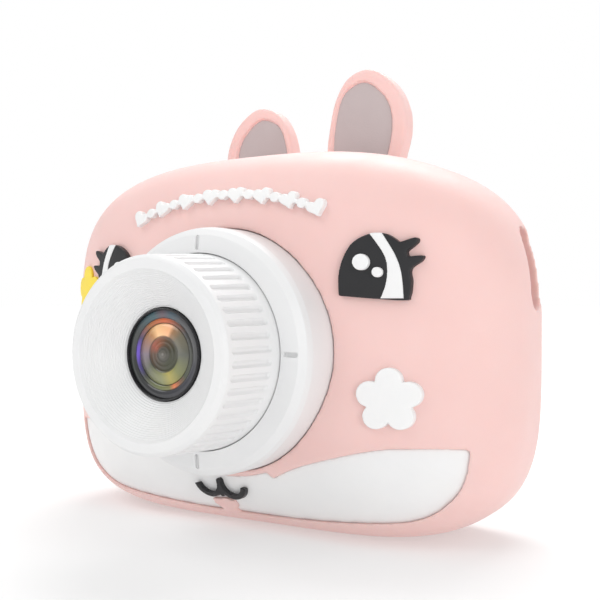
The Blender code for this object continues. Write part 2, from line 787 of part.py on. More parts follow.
def window_profile():
    """A domed front window, flat behind."""
    radius, rim, crown, back = 5.9 * MM, 13.7 * MM, 0.7 * MM, 12.6 * MM
    inner = 5.3 * MM
    dome = [
        (inner * math.sin(math.pi / 2 * step / 4), rim + crown * math.cos(math.pi / 2 * step / 4))
        for step in range(5)
    ]
    return [*dome, (radius, rim), (radius, back), (0.0, back)]


def barrel_profile():
    """The black tube of the lens, stepping inwards like baffles."""
    return [
        (5.8 * MM, 12.3 * MM), (5.8 * MM, -5.2 * MM), (3.3 * MM, -5.2 * MM), (3.3 * MM, 4.4 * MM),
        (1.8 * MM, 4.8 * MM), (1.8 * MM, 6.4 * MM), (3.6 * MM, 8.2 * MM), (4.6 * MM, 8.2 * MM),
        (4.6 * MM, 11.4 * MM), (5.2 * MM, 12.3 * MM),
    ]


def lens_profile(radius, middle, bulge):
    """A biconvex lens about a height."""
    steps = 4
    face = [
        (radius * math.sin(math.pi / 2 * step / steps), bulge * math.cos(math.pi / 2 * step / steps))
        for step in range(steps + 1)
    ]
    front = [(r, middle + 0.3 * MM + h) for r, h in face]
    return front + [(r, middle - 0.3 * MM - h) for r, h in reversed(face)]


# Case


def make_case():
    posts = [
        round_cutter(f"post_{count}", 2.9 * MM, 4 * MM, 27 * MM, x, z, 12)
        for count, (x, z) in enumerate(screw_places())
    ]
    blocks = [
        box_cutter(
            f"strap_block_{side}",
            (min(side * 31.0 * MM, side * 60 * MM), 18.6 * MM, 5.4 * MM),
            (max(side * 31.0 * MM, side * 60 * MM), 27.4 * MM, 20.6 * MM),
        )
        for side in (-1, 1)
    ]
    hollow = cut(cutter("case_hollow", form_mesh(INNER_GROW, *HOLLOW_GRID), FACE_ON), *posts, *blocks)
    far = 80 * MM
    split_gap = FIT_GAP / 2
    behind = box_cutter("behind_split", (-far, CASE_SPLIT_Y - split_gap, -far), (far, far, far))
    ahead = box_cutter("ahead_of_split", (-far, -far, -far), (far, CASE_SPLIT_Y + split_gap, far))
    bores = [
        round_cutter(f"bore_{count}", 1.3 * MM, 10.8 * MM, 24.6 * MM, x, z, 12)
        for count, (x, z) in enumerate(screw_places())
    ]

    front = part("front_shell", form_mesh(CASE_GROW, *CASE_GRID), case_pink, FACE_ON)
    join(front, round_cutter("flange_boss", 12.0 * MM, 2.0 * MM, 5.0 * MM, segments=32))
    cut(front, behind, hollow, round_cutter("barrel_hole", 6.2 * MM, -9 * MM, 7 * MM), *bores)

    rear = part("rear_shell", form_mesh(CASE_GROW, *CASE_GRID), case_pink, FACE_ON)
    panel = form_outline(REAR_OPENING, steps=44)
    panel = grown(panel, -FIT_GAP)
    join(rear, front_cutter("rear_panel", panel, 24 * MM, PANEL_Y))
    cut(rear, ahead, hollow, *bores)
    for count, (x, z) in enumerate(screw_places()):
        cut(rear, round_cutter(f"head_well_{count}", 2.5 * MM, 23.9 * MM, 40 * MM, x, z, 16))
    cut(rear, *rear_cutters())


def screw_places():
    return [
        (side * x, z) for x, z in (UPPER_SCREW, LOWER_SCREW) for side in (-1, 1)
    ]


def rear_cutters():
    wide, tall = DISPLAY_SIZE
    outer = rounded_rectangle(wide + 2 * FIT_GAP, tall + 2 * FIT_GAP, 3.3 * MM, DISPLAY_CENTRE)
    inner = rounded_rectangle(wide - 1.6 * MM, tall - 1.6 * MM, 1.0 * MM, DISPLAY_CENTRE)
    found = [
        front_cutter("display_recess", outer, PANEL_Y - 1.3 * MM, 40 * MM),
        front_cutter("display_hole", inner, 22 * MM, 40 * MM),
        round_cutter("self_view_recess", 2.9 * MM, 29.2 * MM, 40 * MM, *SELF_VIEW),
        round_cutter("self_view_hole", 2.4 * MM, 22 * MM, 40 * MM, *SELF_VIEW),
    ]
    for name, (x, z, radius) in key_places().items():
        found.append(round_cutter(f"{name}_hole", radius + FIT_GAP, 22 * MM, 40 * MM, x, z, 16))
    for side in (-1, 1):
        pocket = (STRAP_Y, STRAP_Z, 6.6 * MM, 12.6 * MM, 32.4 * MM)
        found.append(side_cutter(f"strap_pocket_{side}", side, *pocket))
        found.append(
            cutter(
                f"pin_bore_{side}", disc_mesh(1.2 * MM, 13.8 * MM, 12),
                location=(side * PIN_X, STRAP_Y, STRAP_Z),
            )
        )
        found.append(top_round(f"case_button_hole_{side}", side, 3.3 * MM, -9 * MM, 4 * MM))
    card_low = (-60 * MM, CARD_Y - 0.7 * MM, CARD_Z - 5.8 * MM)
    card_high = (-37 * MM, CARD_Y + 0.7 * MM, CARD_Z + 5.8 * MM)
    found.append(box_cutter("card_mouth", card_low, card_high))
    usb_low = (-60 * MM, CARD_Y - 2.2 * MM, USB_Z - 4.8 * MM)
    usb_high = (-33 * MM, CARD_Y + 2.2 * MM, USB_Z + 4.8 * MM)
    found.append(box_cutter("usb_mouth", usb_low, usb_high))
    return found


def key_places():
    """Name: (x, z, radius) of each key on the back."""
    return {
        "ok_button": (KEY_X, KEY_Z, 2.6 * MM),
        "up_button": (KEY_X, KEY_Z + ARROW_REACH, 1.9 * MM),
        "down_button": (KEY_X, KEY_Z - ARROW_REACH, 1.9 * MM),
        "left_button": (KEY_X - ARROW_REACH, KEY_Z, 1.9 * MM),
        "right_button": (KEY_X + ARROW_REACH, KEY_Z, 1.9 * MM),
        "menu_button": (KEY_X, KEY_Z + 12.4 * MM, 2.3 * MM),
        "play_button": (KEY_X, KEY_Z - 12.4 * MM, 2.3 * MM),
    }


def make_case_fittings():
    for count, (x, z) in enumerate(screw_places(), start=1):
        head, tip = 24.2 * MM, 11.4 * MM
        screw = part(f"case_screw_{count}", screw_mesh(head - tip), steel, FACE_ON, (x, head, z))
        for turn in (0.0, math.pi / 2):
            outline = capsule(2.4 * MM, 0.5 * MM, 2, turn, (x, z))
            cut(screw, front_cutter(f"screw_slot_{count}_{turn:.0f}", outline, head + 0.6 * MM, 40 * MM))
    for side, name in ((-1, "left"), (1, "right")):
        part(
            f"strap_pin_{name}", disc_mesh(0.9 * MM, 13.2 * MM, 16), steel,
            location=(side * PIN_X, STRAP_Y, STRAP_Z),
        )


def screw_mesh(length):
    """A pan-head screw along local z, its head behind the origin and its tip at length."""
    head, radius, shank = 1.2 * MM, 2.1 * MM, 1.0 * MM
    profile = [
        (0.0, length), (0.4 * MM, length), (shank, length - 1.0 * MM), (shank, 0.0), (radius, 0.0),
        (radius, -head * 0.5), (radius * 0.7, -head), (0.0, -head),
    ]
    return turned_mesh(profile, 12)


# Inside


def make_electronics():
    box_part("main_board", (-31 * MM, 11.8 * MM, -16.0 * MM), (31 * MM, 13.0 * MM, 17.6 * MM), board_green)
    battery = rounded_box_mesh((36 * MM, 6.4 * MM, 26 * MM), 1.0 * MM)
    part("battery", battery, foil, location=(-11 * MM, 17.6 * MM, 1 * MM))
    round_part("speaker", 7.0 * MM, 14 * MM, 17.6 * MM, black, 21 * MM, -11 * MM, 32)
    round_part("microphone", 2.0 * MM, 10.0 * MM, 11.5 * MM, foil, -24 * MM, 12 * MM, 16)
    x, z = DISPLAY_CENTRE
    wide, tall = DISPLAY_SIZE
    module = rounded_box_mesh((wide - 3 * MM, 2.4 * MM, tall - 3 * MM), 0.4 * MM, 1)
    part("lcd_module", module, black, location=(x, 27.3 * MM, z))
    window = rounded_rectangle(wide, tall, 3.0 * MM, DISPLAY_CENTRE, 5)
    front_part("display_window", window, PANEL_Y - 1.0 * MM, PANEL_Y - 0.1 * MM, glass)
    round_part("self_view_module", 2.1 * MM, 23.4 * MM, 28.6 * MM, black, *SELF_VIEW)
    round_part("self_view_window", 2.6 * MM, 29.4 * MM, PANEL_Y, glass, *SELF_VIEW)
    keys_low = (KEY_X - 8.2 * MM, 22.0 * MM, KEY_Z - 14.8 * MM)
    keys_high = (KEY_X + 3.8 * MM, 23.0 * MM, KEY_Z + 16.0 * MM)
    box_part("key_board", keys_low, keys_high, board_green)
    wing_low = (KEY_X, 22.0 * MM, KEY_Z - 6.0 * MM)
    wing_high = (KEY_X + 7.6 * MM, 23.0 * MM, KEY_Z + 6.0 * MM)
    join(bpy.data.objects["key_board"], box_cutter("key_board_wing", wing_low, wing_high))
    box_part(
        "card_socket", (-38.2 * MM, CARD_Y - 1.4 * MM, CARD_Z - 6.2 * MM),
        (-25.0 * MM, CARD_Y + 1.4 * MM, CARD_Z + 6.2 * MM), steel,
    )
    card_slot = box_cutter(
        "card_slot", (-50 * MM, CARD_Y - 0.6 * MM, CARD_Z - 5.8 * MM),
        (-25.8 * MM, CARD_Y + 0.6 * MM, CARD_Z + 5.8 * MM),
    )
    cut(bpy.data.objects["card_socket"], card_slot)
    card = rounded_box_mesh((15.0 * MM, 0.7 * MM, 11.0 * MM), 0.15 * MM, 1)
    part("memory_card", card, black, location=(-34.0 * MM, CARD_Y, CARD_Z))
    box_part(
        "usb_socket", (-37.6 * MM, CARD_Y - 1.6 * MM, USB_Z - 4.5 * MM),
        (-31.0 * MM, CARD_Y + 1.6 * MM, USB_Z + 4.5 * MM), steel,
    )
    mouth = rounded_rectangle(2.5 * MM, 8.3 * MM, 1.2 * MM)
    depth = 6.2 * MM
    usb_bore = cutter(
        "usb_bore", plate_mesh(mouth, depth), SIDE_ON, (-37.9 * MM + depth / 2, CARD_Y, USB_Z)
    )
    cut(bpy.data.objects["usb_socket"], usb_bore)


# Controls


def make_controls():
    for name, (x, z, radius) in key_places().items():
        part(name, key_mesh(radius), white, FACE_ON, (x, PANEL_Y + 0.5 * MM, z))
    for side, name in ((-1, "shutter"), (1, "power")):
        rotation, location = top_round_place(side, BUTTON_CROWN, BUTTON_CROWN)
        part(f"{name}_button", cap_mesh(), white, rotation, location)
        x = side * TOP_BUTTON_X
        box_part(
            f"{name}_switch", (x - 1.4 * MM, TOP_BUTTON_Y - 3 * MM, 20.2 * MM),
            (x + 1.4 * MM, TOP_BUTTON_Y + 3 * MM, 23.0 * MM), black,
        )


def key_mesh(radius):
    """A key about local z, which points into the camera's front; its crown is at the origin."""
    collar, depth = radius + 0.5 * MM, 6.4 * MM
    profile = [
        (0.0, depth), (collar, depth), (collar, depth - 0.7 * MM), (radius, depth - 0.7 * MM),
        (radius, 0.4 * MM), (radius - 0.4 * MM, 0.1 * MM), (0.0, 0.0),
    ]
    return turned_mesh(profile, 16)


def cap_mesh():
    """A top button about local z, with a collar under the case and its crown at the origin."""
    radius, collar = 3.0 * MM, 3.6 * MM
    profile = [
        (0.0, 0.0), (radius - 0.6 * MM, -0.1 * MM), (radius, -0.6 * MM), (radius, -6.0 * MM),
        (collar, -6.0 * MM), (collar, -6.7 * MM), (0.0, -6.7 * MM),
    ]
    return turned_mesh(profile, 24)


clear_scene()
camera = new_collection("kids_camera")
cutters = new_collection("cutters")

lens_frame = bpy.data.objects.new("lens_frame", None)
lens_frame.location = (0.0, SEAT_Y, LENS_HEIGHT)
camera.objects.link(lens_frame)

pink = principled("pink_silicone", PINK, 0.55)
case_pink = principled("pink_case_plastic", CASE_PINK, 0.4)
white = principled("white_plastic", WHITE, 0.4)
charcoal = principled("charcoal_rubber", CHARCOAL, 0.45)
black = principled("black_plastic", BLACK, 0.3)
ear_grey = principled("grey_ear_inlay", EAR_GREY, 0.6)
yellow = principled("yellow_rubber", YELLOW, 0.5)
steel = principled("steel", STEEL, 0.3, 1.0)
board_green = principled("board_green", BOARD_GREEN, 0.4)
foil = principled("foil", FOIL, 0.35, 0.6)
glass = principled("dark_glass", GLASS, 0.08)

make_sleeve()
make_ears()
make_face()
make_lens()
make_case()
make_case_fittings()
make_electronics()
make_controls()
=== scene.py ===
"""Looks of a kids' digital camera in a soft rabbit sleeve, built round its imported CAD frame.

Shapes are drawn in the lens frame: x to the viewer's right, y back into the camera from the seat of
the lens, z up from the lens axis. SEAT_Y and LENS_HEIGHT place that frame in the world.
"""

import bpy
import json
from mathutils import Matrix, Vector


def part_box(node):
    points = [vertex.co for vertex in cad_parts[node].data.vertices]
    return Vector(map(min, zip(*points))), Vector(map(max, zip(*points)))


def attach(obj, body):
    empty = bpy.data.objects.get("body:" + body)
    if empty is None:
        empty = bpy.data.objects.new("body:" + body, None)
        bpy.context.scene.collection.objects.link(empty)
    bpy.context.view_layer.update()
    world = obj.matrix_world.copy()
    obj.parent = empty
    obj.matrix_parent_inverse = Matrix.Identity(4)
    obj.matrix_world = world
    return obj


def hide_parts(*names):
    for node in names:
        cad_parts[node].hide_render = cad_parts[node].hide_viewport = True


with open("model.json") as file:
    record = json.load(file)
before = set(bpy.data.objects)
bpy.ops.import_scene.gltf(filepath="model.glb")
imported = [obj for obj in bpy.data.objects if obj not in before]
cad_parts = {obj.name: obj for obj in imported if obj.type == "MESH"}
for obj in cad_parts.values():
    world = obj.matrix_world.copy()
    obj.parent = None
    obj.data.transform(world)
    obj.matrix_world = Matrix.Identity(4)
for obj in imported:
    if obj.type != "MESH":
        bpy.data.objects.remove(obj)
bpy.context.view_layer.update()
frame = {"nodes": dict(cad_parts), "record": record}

import json
import math

import bmesh
import bpy
from mathutils import Matrix, Vector

MM = 0.001
SEAT_Y = -5.6 * MM
LENS_HEIGHT = 29.6 * MM

# Outer form of the sleeve, as in the CAD
HALF_WIDTH = 44.0 * MM
MIDDLE_RISE = 5.5 * MM
TOP_RISE = 27.4 * MM
BOTTOM_DROP = 36.0 * MM
TOP_POWER, BOTTOM_POWER = 2.8, 4.5
WIDEST_Y = 21.5 * MM
FRONT_DEPTH = 22.1 * MM
BACK_DEPTH = 9.0 * MM
SIDE_CROWN, CAP_CROWN = 2.3, 4.7
SIDE_EDGE, TOP_EDGE, BOTTOM_EDGE = 2.8, 3.8, 3.0
BACK_EDGE = 4.3
SLEEVE_WALL = 2.6 * MM
REAR_OPENING = 0.84

FLANGE_SIDE = 19.3 * MM
RING_BASE_RADIUS = 15.0 * MM
RING_SEAT = 15.12 * MM
RING_RIM_RADIUS = 14.35 * MM
RING_FRONT = 19.5 * MM
DISH_RADIUS = 12.05 * MM
DISH_FLOOR = 15.1 * MM
BEZEL_RADIUS = 6.8 * MM
DISH_HOLE = 6.9 * MM
HUB_BORE = 7.3 * MM
HUB_RADIUS = 8.9 * MM
GRIP_GROOVES = 48
GRIP_FRONT, GRIP_BACK = 17.6 * MM, 9.6 * MM
GRIP_WIDTH, GRIP_DEPTH = 0.46 * MM, 0.45 * MM
DISH_GROOVES = 18
DISH_GROOVE_DEPTH = 0.055 * MM
INDEX_MARK_RADIUS = 16.7 * MM
COVER_RADIUS = 6.35 * MM
COVER_RAISE = 0.95  # millimetres added to the lens cover's profile
PAINTED_RINGS_RADIUS = 7.0 * MM  # where the rings of painted reflections on the lens end

FACE_NEAR, FACE_FAR = -6.0 * MM, 13.0 * MM  # depths before and behind everything on the face
OVERLAY_RAISE = 0.9 * MM
OVERLAY_ROOT = -0.3 * MM  # how far the raised shapes reach into the sleeve
BIB_SINK = 0.5 * MM
BIB_POCKET = -1.5 * MM
LEFT_EYE_SHIFT = 2.2 * MM
LARGE_GLINT, LARGE_GLINT_RADIUS = (24.3 * MM, 13.4 * MM), 1.2 * MM
SMALL_GLINT, SMALL_GLINT_RADIUS = (26.6 * MM, 11.9 * MM), 0.75 * MM
FLOWER_RADIUS = 4.75 * MM
CHEEK_FLOWER = (27.9 * MM, -6.7 * MM)
YELLOW_FLOWER = (-33.9 * MM, 9.6 * MM)
YELLOW_RAISE = 0.5 * MM
MOUTH_X, MOUTH_Z = -2.0 * MM, -21.6 * MM
MOUTH_BOW = 2.3 * MM
MOUTH_STROKE = 0.85 * MM
MOUTH_STEM = 3.2 * MM
EAR_FRONT_Y, EAR_BACK_Y = 26.3 * MM, 30.4 * MM
INLAY_BOTTOM = 33.3 * MM
INLAY_NEAR, INLAY_FAR = 26.75 * MM, 27.2 * MM
INLAY_POCKET_Y = 27.1 * MM
LEFT_EAR_SHIFT, LEFT_EAR_DROP = 1.2 * MM, 4.5 * MM

TOP_BUTTON_X, TOP_BUTTON_Y = 22.6 * MM, 21.0 * MM
TOP_HOLE_RADIUS = 3.7 * MM
TOP_CAP_RADIUS, TOP_CAP_COLLAR = 3.0 * MM, 3.6 * MM
TOP_CAP_CROWN, TOP_CAP_FOOT = 0.1 * MM, -6.6 * MM
KEYS = ("ok", "up", "down", "left", "right", "menu", "play")
KEY_RADII = {"ok": 2.6 * MM, "menu": 2.3 * MM, "play": 2.3 * MM}
ARROW_KEY_RADIUS = 1.9 * MM
STRAP_Y, STRAP_Z = 22.9 * MM, 12.9 * MM
STRAP_SLOT, STRAP_CORNER = (7.2 * MM, 13.2 * MM), 3.2 * MM
PORT_Y, PORT_Z = 22.6 * MM, -6.9 * MM
PORT_SIZE, PORT_CORNER = (6.4 * MM, 23.2 * MM), 2.8 * MM

BODY = "camera_body"
ROOM_LIGHT = 0.60
NEAR_GLOW, FAR_GLOW = 0.34, 0.66
LIGHT_TARGET = (0.0, 0.0, 0.04)
# Name, place and size in metres, and power in watts
LIGHTS = (
    ("key", (-0.30, -0.45, 0.65), (0.5, 0.5), 1.7),
    ("fill", (0.70, -0.40, 0.15), (0.5, 0.6), 2.0),
    ("top", (-0.10, 0.40, 0.75), (0.6, 0.5), 5.0),
)
CAMERA_PLACE = (81.7 * MM, -113.7 * MM, 6.9 * MM)
CAMERA_AIM = (-0.5112, 0.8595, 0.0076)
SENSOR_WIDTH, FOCAL_LENGTH = 36.0, 52.43


# Meshes and solids


def placed(x, y, z):
    """A point of the lens frame, in the world."""
    return (x, y + SEAT_Y, z + LENS_HEIGHT)


def mesh_from(shape, name="mesh"):
    mesh = bpy.data.meshes.new(name)
    bmesh.ops.recalc_face_normals(shape, faces=shape.faces)
    shape.to_mesh(mesh)
    shape.free()
    return mesh


def helper(mesh, name="helper"):
    made = bpy.data.objects.new(name, mesh)
    bpy.context.scene.collection.objects.link(made)
    return made


def evaluated(guide, *helpers):
    """The finished mesh of a guide with modifiers. The guide and its helpers are removed."""
    bpy.context.view_layer.update()
    graph = bpy.context.evaluated_depsgraph_get()
    mesh = bpy.data.meshes.new_from_object(guide.evaluated_get(graph))
    for used in (guide, *helpers):
        old = used.data
        bpy.data.objects.remove(used)
        bpy.data.meshes.remove(old)
    return mesh


def combined(mesh, *steps):
    """The mesh after Booleans, each step being (operation, other mesh)."""
    guide = helper(mesh)
    helpers = []
    for operation, other in steps:
        tool = helper(other)
        helpers.append(tool)
        change = guide.modifiers.new(operation, "BOOLEAN")
        change.operation = operation
        change.object = tool
        change.solver = "MANIFOLD"
    return evaluated(guide, *helpers)


def softened(mesh, voxel, rounds):
    """The mesh with all its edges rounded, as moulded silicone has them."""
    guide = helper(mesh)
    remesh = guide.modifiers.new("Remesh", "REMESH")
    remesh.mode = "VOXEL"
    remesh.voxel_size = voxel
    smooth = guide.modifiers.new("Smooth", "SMOOTH")
    smooth.factor = 0.5
    smooth.iterations = rounds
    return evaluated(guide)


def piece(name, mesh, material, body=BODY, replaces=(), sharp=180.0):
    """A finished piece, riding on its body."""
    mesh.name = name
    mesh.materials.clear()
    mesh.materials.append(material)
    mesh.shade_smooth()
    if sharp < 180.0:
        mesh.set_sharp_from_angle(angle=math.radians(sharp))
    made = helper(mesh, name)
    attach(made, body)
    if replaces:
        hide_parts(*replaces)
    return made


def extruded(near_points, far_points):
    """A solid between two matching outlines, given as points of the lens frame."""
    shape = bmesh.new()
    near = [shape.verts.new(placed(*point)) for point in near_points]
    far = [shape.verts.new(placed(*point)) for point in far_points]
    shape.faces.new(near)
    shape.faces.new(far[::-1])
    for i in range(len(near)):
        j = (i + 1) % len(near)
        shape.faces.new((near[i], near[j], far[j], far[i]))
    bmesh.ops.triangulate(shape, faces=[face for face in shape.faces if len(face.verts) > 4])
    return mesh_from(shape)


def prism(outline, y_front, y_back):
    """A face-on outline of (x, z) as a solid between two depths."""
    return extruded([(x, y_front, z) for x, z in outline], [(x, y_back, z) for x, z in outline])


def side_prism(outline, x_inner, x_outer):
    """A side-on outline of (y, z) as a solid between two values of x."""
    return extruded([(x_inner, y, z) for y, z in outline], [(x_outer, y, z) for y, z in outline])


def block(low, high):
    shape = bmesh.new()
    bmesh.ops.create_cube(shape, size=1.0)
    for vert in shape.verts:
        share = [value + 0.5 for value in vert.co]
        vert.co = placed(*(low[axis] + (high[axis] - low[axis]) * share[axis] for axis in range(3)))
    return mesh_from(shape)


def turned(profile, steps=160, centre=(0.0, 0.0), reach=None):
    """A profile of (radius, distance in front of the seat), turned about the lens axis.

    reach(radius, front, angle) may move a point in or out to cut ribs.
    """
    shape = bmesh.new()
    rows = []
    for radius, front in profile:
        if radius == 0.0:
            rows.append([shape.verts.new(placed(centre[0], -front, centre[1]))] * steps)
            continue
        row = []
        for step in range(steps):
            angle = math.tau * step / steps
            r = reach(radius, front, angle) if reach else radius
            x, z = centre[0] + r * math.cos(angle), centre[1] + r * math.sin(angle)
            row.append(shape.verts.new(placed(x, -front, z)))
        rows.append(row)
    closed = profile[0][0] > 0.0 or profile[-1][0] > 0.0
    pairs = list(zip(rows, rows[1:]))
    if closed:
        pairs.append((rows[-1], rows[0]))
    for upper, lower in pairs:
        for i in range(steps):
            j = (i + 1) % steps
            corners = list(dict.fromkeys((upper[i], upper[j], lower[j], lower[i])))
            if len(corners) > 2:
                shape.faces.new(corners)
    return mesh_from(shape)


def filleted(profile, radius, steps=4, closed=True):
    """A profile with its corners rounded. A third value on a point is its own radius."""
    rounded = []
    count = len(profile)
    for i, point in enumerate(profile):
        own = point[2] if len(point) > 2 else radius
        here = Vector(point[:2])
        before = Vector(profile[i - 1][:2]) - here
        after = Vector(profile[(i + 1) % count][:2]) - here
        ends = not closed and i in (0, count - 1)
        if ends or own == 0.0 or before.length == 0.0 or after.length == 0.0:
            rounded.append(tuple(here))
            continue
        half = before.angle(after) / 2
        if abs(half - math.pi / 2) < 0.01:
            rounded.append(tuple(here))
            continue
        room = min(before.length, after.length) * 0.45
        length = min(own / math.tan(half), room)
        start = here + before.normalized() * length
        end = here + after.normalized() * length
        for step in range(steps + 1):
            t = step / steps
            rounded.append(tuple(start * (1 - t) ** 2 + here * 2 * t * (1 - t) + end * t**2))
    return rounded


# Outlines, as lists of (x, z)


def smooth_outline(points, steps=8):
    """A closed Catmull-Rom curve through points in millimetres. A third value of 0 marks a corner."""
    outline = []
    count = len(points)

    def slope(i):
        if len(points[i % count]) == 3:
            return (0.0, 0.0)
        before, after = points[(i - 1) % count], points[(i + 1) % count]
        return tuple((after[axis] - before[axis]) / 2 for axis in (0, 1))

    for i, point in enumerate(points):
        after = points[(i + 1) % count]
        start, end = slope(i), slope(i + 1)
        for step in range(steps):
            t = step / steps
            outline.append(
                tuple(
                    MM
                    * (
                        (2 * t**3 - 3 * t**2 + 1) * point[axis]
                        + (t**3 - 2 * t**2 + t) * start[axis]
                        + (3 * t**2 - 2 * t**3) * after[axis]
                        + (t**3 - t**2) * end[axis]
                    )
                    for axis in (0, 1)
                )
            )
    return outline


def mirrored(outline, shift=0.0, drop=0.0):
    return [(-x + shift, z - drop) for x, z in reversed(outline)]


def grown(outline, distance):
    """The outline moved outwards, for a counter-clockwise outline."""
    moved = []
    for i, (x, z) in enumerate(outline):
        before, after = outline[i - 1], outline[(i + 1) % len(outline)]
        run, rise = after[0] - before[0], after[1] - before[1]
        length = math.hypot(run, rise) or 1.0
        moved.append((x + rise / length * distance, z - run / length * distance))
    return moved


def polar(centre, radius, angle):
    return (centre[0] + radius * math.cos(angle), centre[1] + radius * math.sin(angle))


def circle(radius, centre=(0.0, 0.0), steps=32):
    return [polar(centre, radius, math.tau * step / steps) for step in range(steps)]


def capsule(length, width, centre=(0.0, 0.0), turn=0.0, steps=10):
    half, radius = (length - width) / 2, width / 2
    outline = []
    for side, start in ((1, -math.pi / 2), (-1, math.pi / 2)):
        for step in range(steps + 1):
            x, z = polar((side * half, 0.0), radius, start + math.pi * step / steps)
            outline.append(
                (
                    centre[0] + x * math.cos(turn) - z * math.sin(turn),
                    centre[1] + x * math.sin(turn) + z * math.cos(turn),
                )
            )
    return outline


def rounded_rectangle(width, height, radius, centre=(0.0, 0.0), steps=8):
    outline = []
    for quarter, (sx, sz) in enumerate(((1, 1), (-1, 1), (-1, -1), (1, -1))):
        corner = (centre[0] + sx * (width / 2 - radius), centre[1] + sz * (height / 2 - radius))
        for step in range(steps + 1):
            outline.append(polar(corner, radius, math.pi / 2 * (quarter + step / steps)))
    return outline


def flower(radius, centre, steps=120, petals=5):
    outline = []
    for step in range(steps):
        angle = math.tau * step / steps
        lobe = abs(math.sin(petals / 2 * (angle - math.pi / 2 + math.pi / petals)))
        outline.append(polar(centre, radius * (0.64 + 0.36 * lobe**0.7), angle))
    return outline


def heart(size, centre, turn, steps=32):
    outline = []
    for step in range(steps):
        t = math.tau * step / steps
        x = math.sin(t) ** 3
        z = (13 * math.cos(t) - 5 * math.cos(2 * t) - 2 * math.cos(3 * t) - math.cos(4 * t)) / 16
        outline.append(
            (
                centre[0] - size / 2 * (x * math.cos(turn) + z * math.sin(turn)),
                centre[1] + size / 2 * (z * math.cos(turn) - x * math.sin(turn)),
            )
        )
    return outline


EYE = smooth_outline(
    [
        (20.7, 8.5, 0), (29.7, 7.8), (30.8, 8.4), (31.1, 10.4), (31.0, 12.3), (32.4, 13.5),
        (32.6, 14.3), (30.6, 14.1, 0), (30.5, 14.9, 0), (31.9, 16.2), (31.6, 16.9), (29.5, 16.2, 0),
        (27.6, 17.5), (25.2, 17.5), (22.7, 16.1), (21.1, 13.2), (20.6, 10.4),
    ]
)
EYE_WHITE = smooth_outline(
    [
        (26.9, 8.1, 0), (30.1, 8.1, 0), (29.8, 11.8), (28.9, 14.6), (27.1, 17.7, 0), (25.3, 17.7, 0),
        (27.4, 14.6), (27.9, 12.2), (27.6, 10.0),
    ]
)
EAR = smooth_outline(
    [
        (3.6, 28.6, 0), (17.2, 28.6, 0), (18.6, 33.2), (19.8, 38.2), (19.3, 42.6), (16.9, 46.8),
        (12.6, 49.5), (8.3, 48.4), (5.6, 44.4), (4.3, 38.6), (3.7, 33.2),
    ]
)
EAR_INLAY = smooth_outline(
    [
        (5.2, 33.4, 0), (16.1, 33.4, 0), (17.0, 37.4), (16.9, 41.4), (15.3, 44.6), (12.0, 47.1),
        (8.9, 46.5), (6.8, 44.2), (5.6, 39.0),
    ]
)
BIB_NOTCH = [
    (-3.7, -27.0, 0), (-4.9, -25.7), (-4.9, -24.7, 0), (-2.0, -24.4, 0), (-0.5, -24.7, 0), (-0.6, -25.7),
    (-1.8, -27.0, 0),
]
BIB_CHEEK = [
    (11.0, -26.9), (25.3, -25.8), (31.0, -24.6), (35.0, -21.9), (37.2, -18.4), (38.0, -13.9, 0),
    (31.4, -13.8), (24.6, -14.4), (13.8, -17.4), (8.4, -19.9, 0), (7.4, -18.9, 0),
]


def bib_outline():
    """The bib from cheek to cheek, open round the flange, with a notch for the tongue."""
    far_cheek = [(-point[0], *point[1:]) for point in reversed(BIB_CHEEK)]
    x, z = BIB_CHEEK[-1][:2]
    reach, start = math.hypot(x, z), math.atan2(-z, x)
    arc = []
    for step in range(1, 20):
        angle = start + (math.pi - 2 * start) * step / 20
        arc.append((reach * math.cos(angle), -reach * math.sin(angle), 0))
    return smooth_outline([*BIB_NOTCH, *BIB_CHEEK, *arc, *far_cheek])


def mouth_outlines():
    stem = capsule(MOUTH_STEM, MOUTH_STROKE, (MOUTH_X, MOUTH_Z - MOUTH_STEM / 4), math.pi / 2)
    bows = []
    for side in (-1, 1):
        middle = (MOUTH_X + side * MOUTH_BOW, MOUTH_Z)
        turns = [math.pi * (0.06 + 0.94 * step / 16) for step in range(17)]
        angles = [math.pi + turn if side < 0 else -turn for turn in turns]
        outer = [polar(middle, MOUTH_BOW + MOUTH_STROKE / 2, angle) for angle in angles]
        inner = [polar(middle, MOUTH_BOW - MOUTH_STROKE / 2, angle) for angle in angles]
        bow = outer + inner[::-1]
        bows.append(bow if side < 0 else bow[::-1])
    return [stem, *bows]


def garland_outlines():
    """An arc of hearts and beads over the lens, strung on a thin band."""
    radius, centre, span, marks = 51.0 * MM, (0.0, -26.3 * MM), math.radians(39.0), 15
    band, upper, lower, charms = 0.3 * MM, [], [], []
    for step in range(marks):
        angle = math.pi / 2 + span * (0.5 - step / (marks - 1))
        upper.append(polar(centre, radius + band, angle))
        lower.append(polar(centre, radius - band, angle))
        place = polar(centre, radius, angle)
        if step % 2:
            charms.append(circle(0.8 * MM, place, 24))
        else:
            charms.append(heart(3.0 * MM, place, math.pi / 2 - angle))
    return [lower + upper[::-1], *charms]


# The outer form


def form_reach(angle, grow):
    across, up = math.cos(angle), math.sin(angle)
    power = TOP_POWER if up >= 0 else BOTTOM_POWER
    tall = (TOP_RISE if up >= 0 else BOTTOM_DROP) + grow
    wide_term = abs(across / (HALF_WIDTH + grow)) ** power
    tall_term = abs(up / tall) ** power
    return (wide_term + tall_term) ** (-1 / power), tall_term / (wide_term + tall_term)


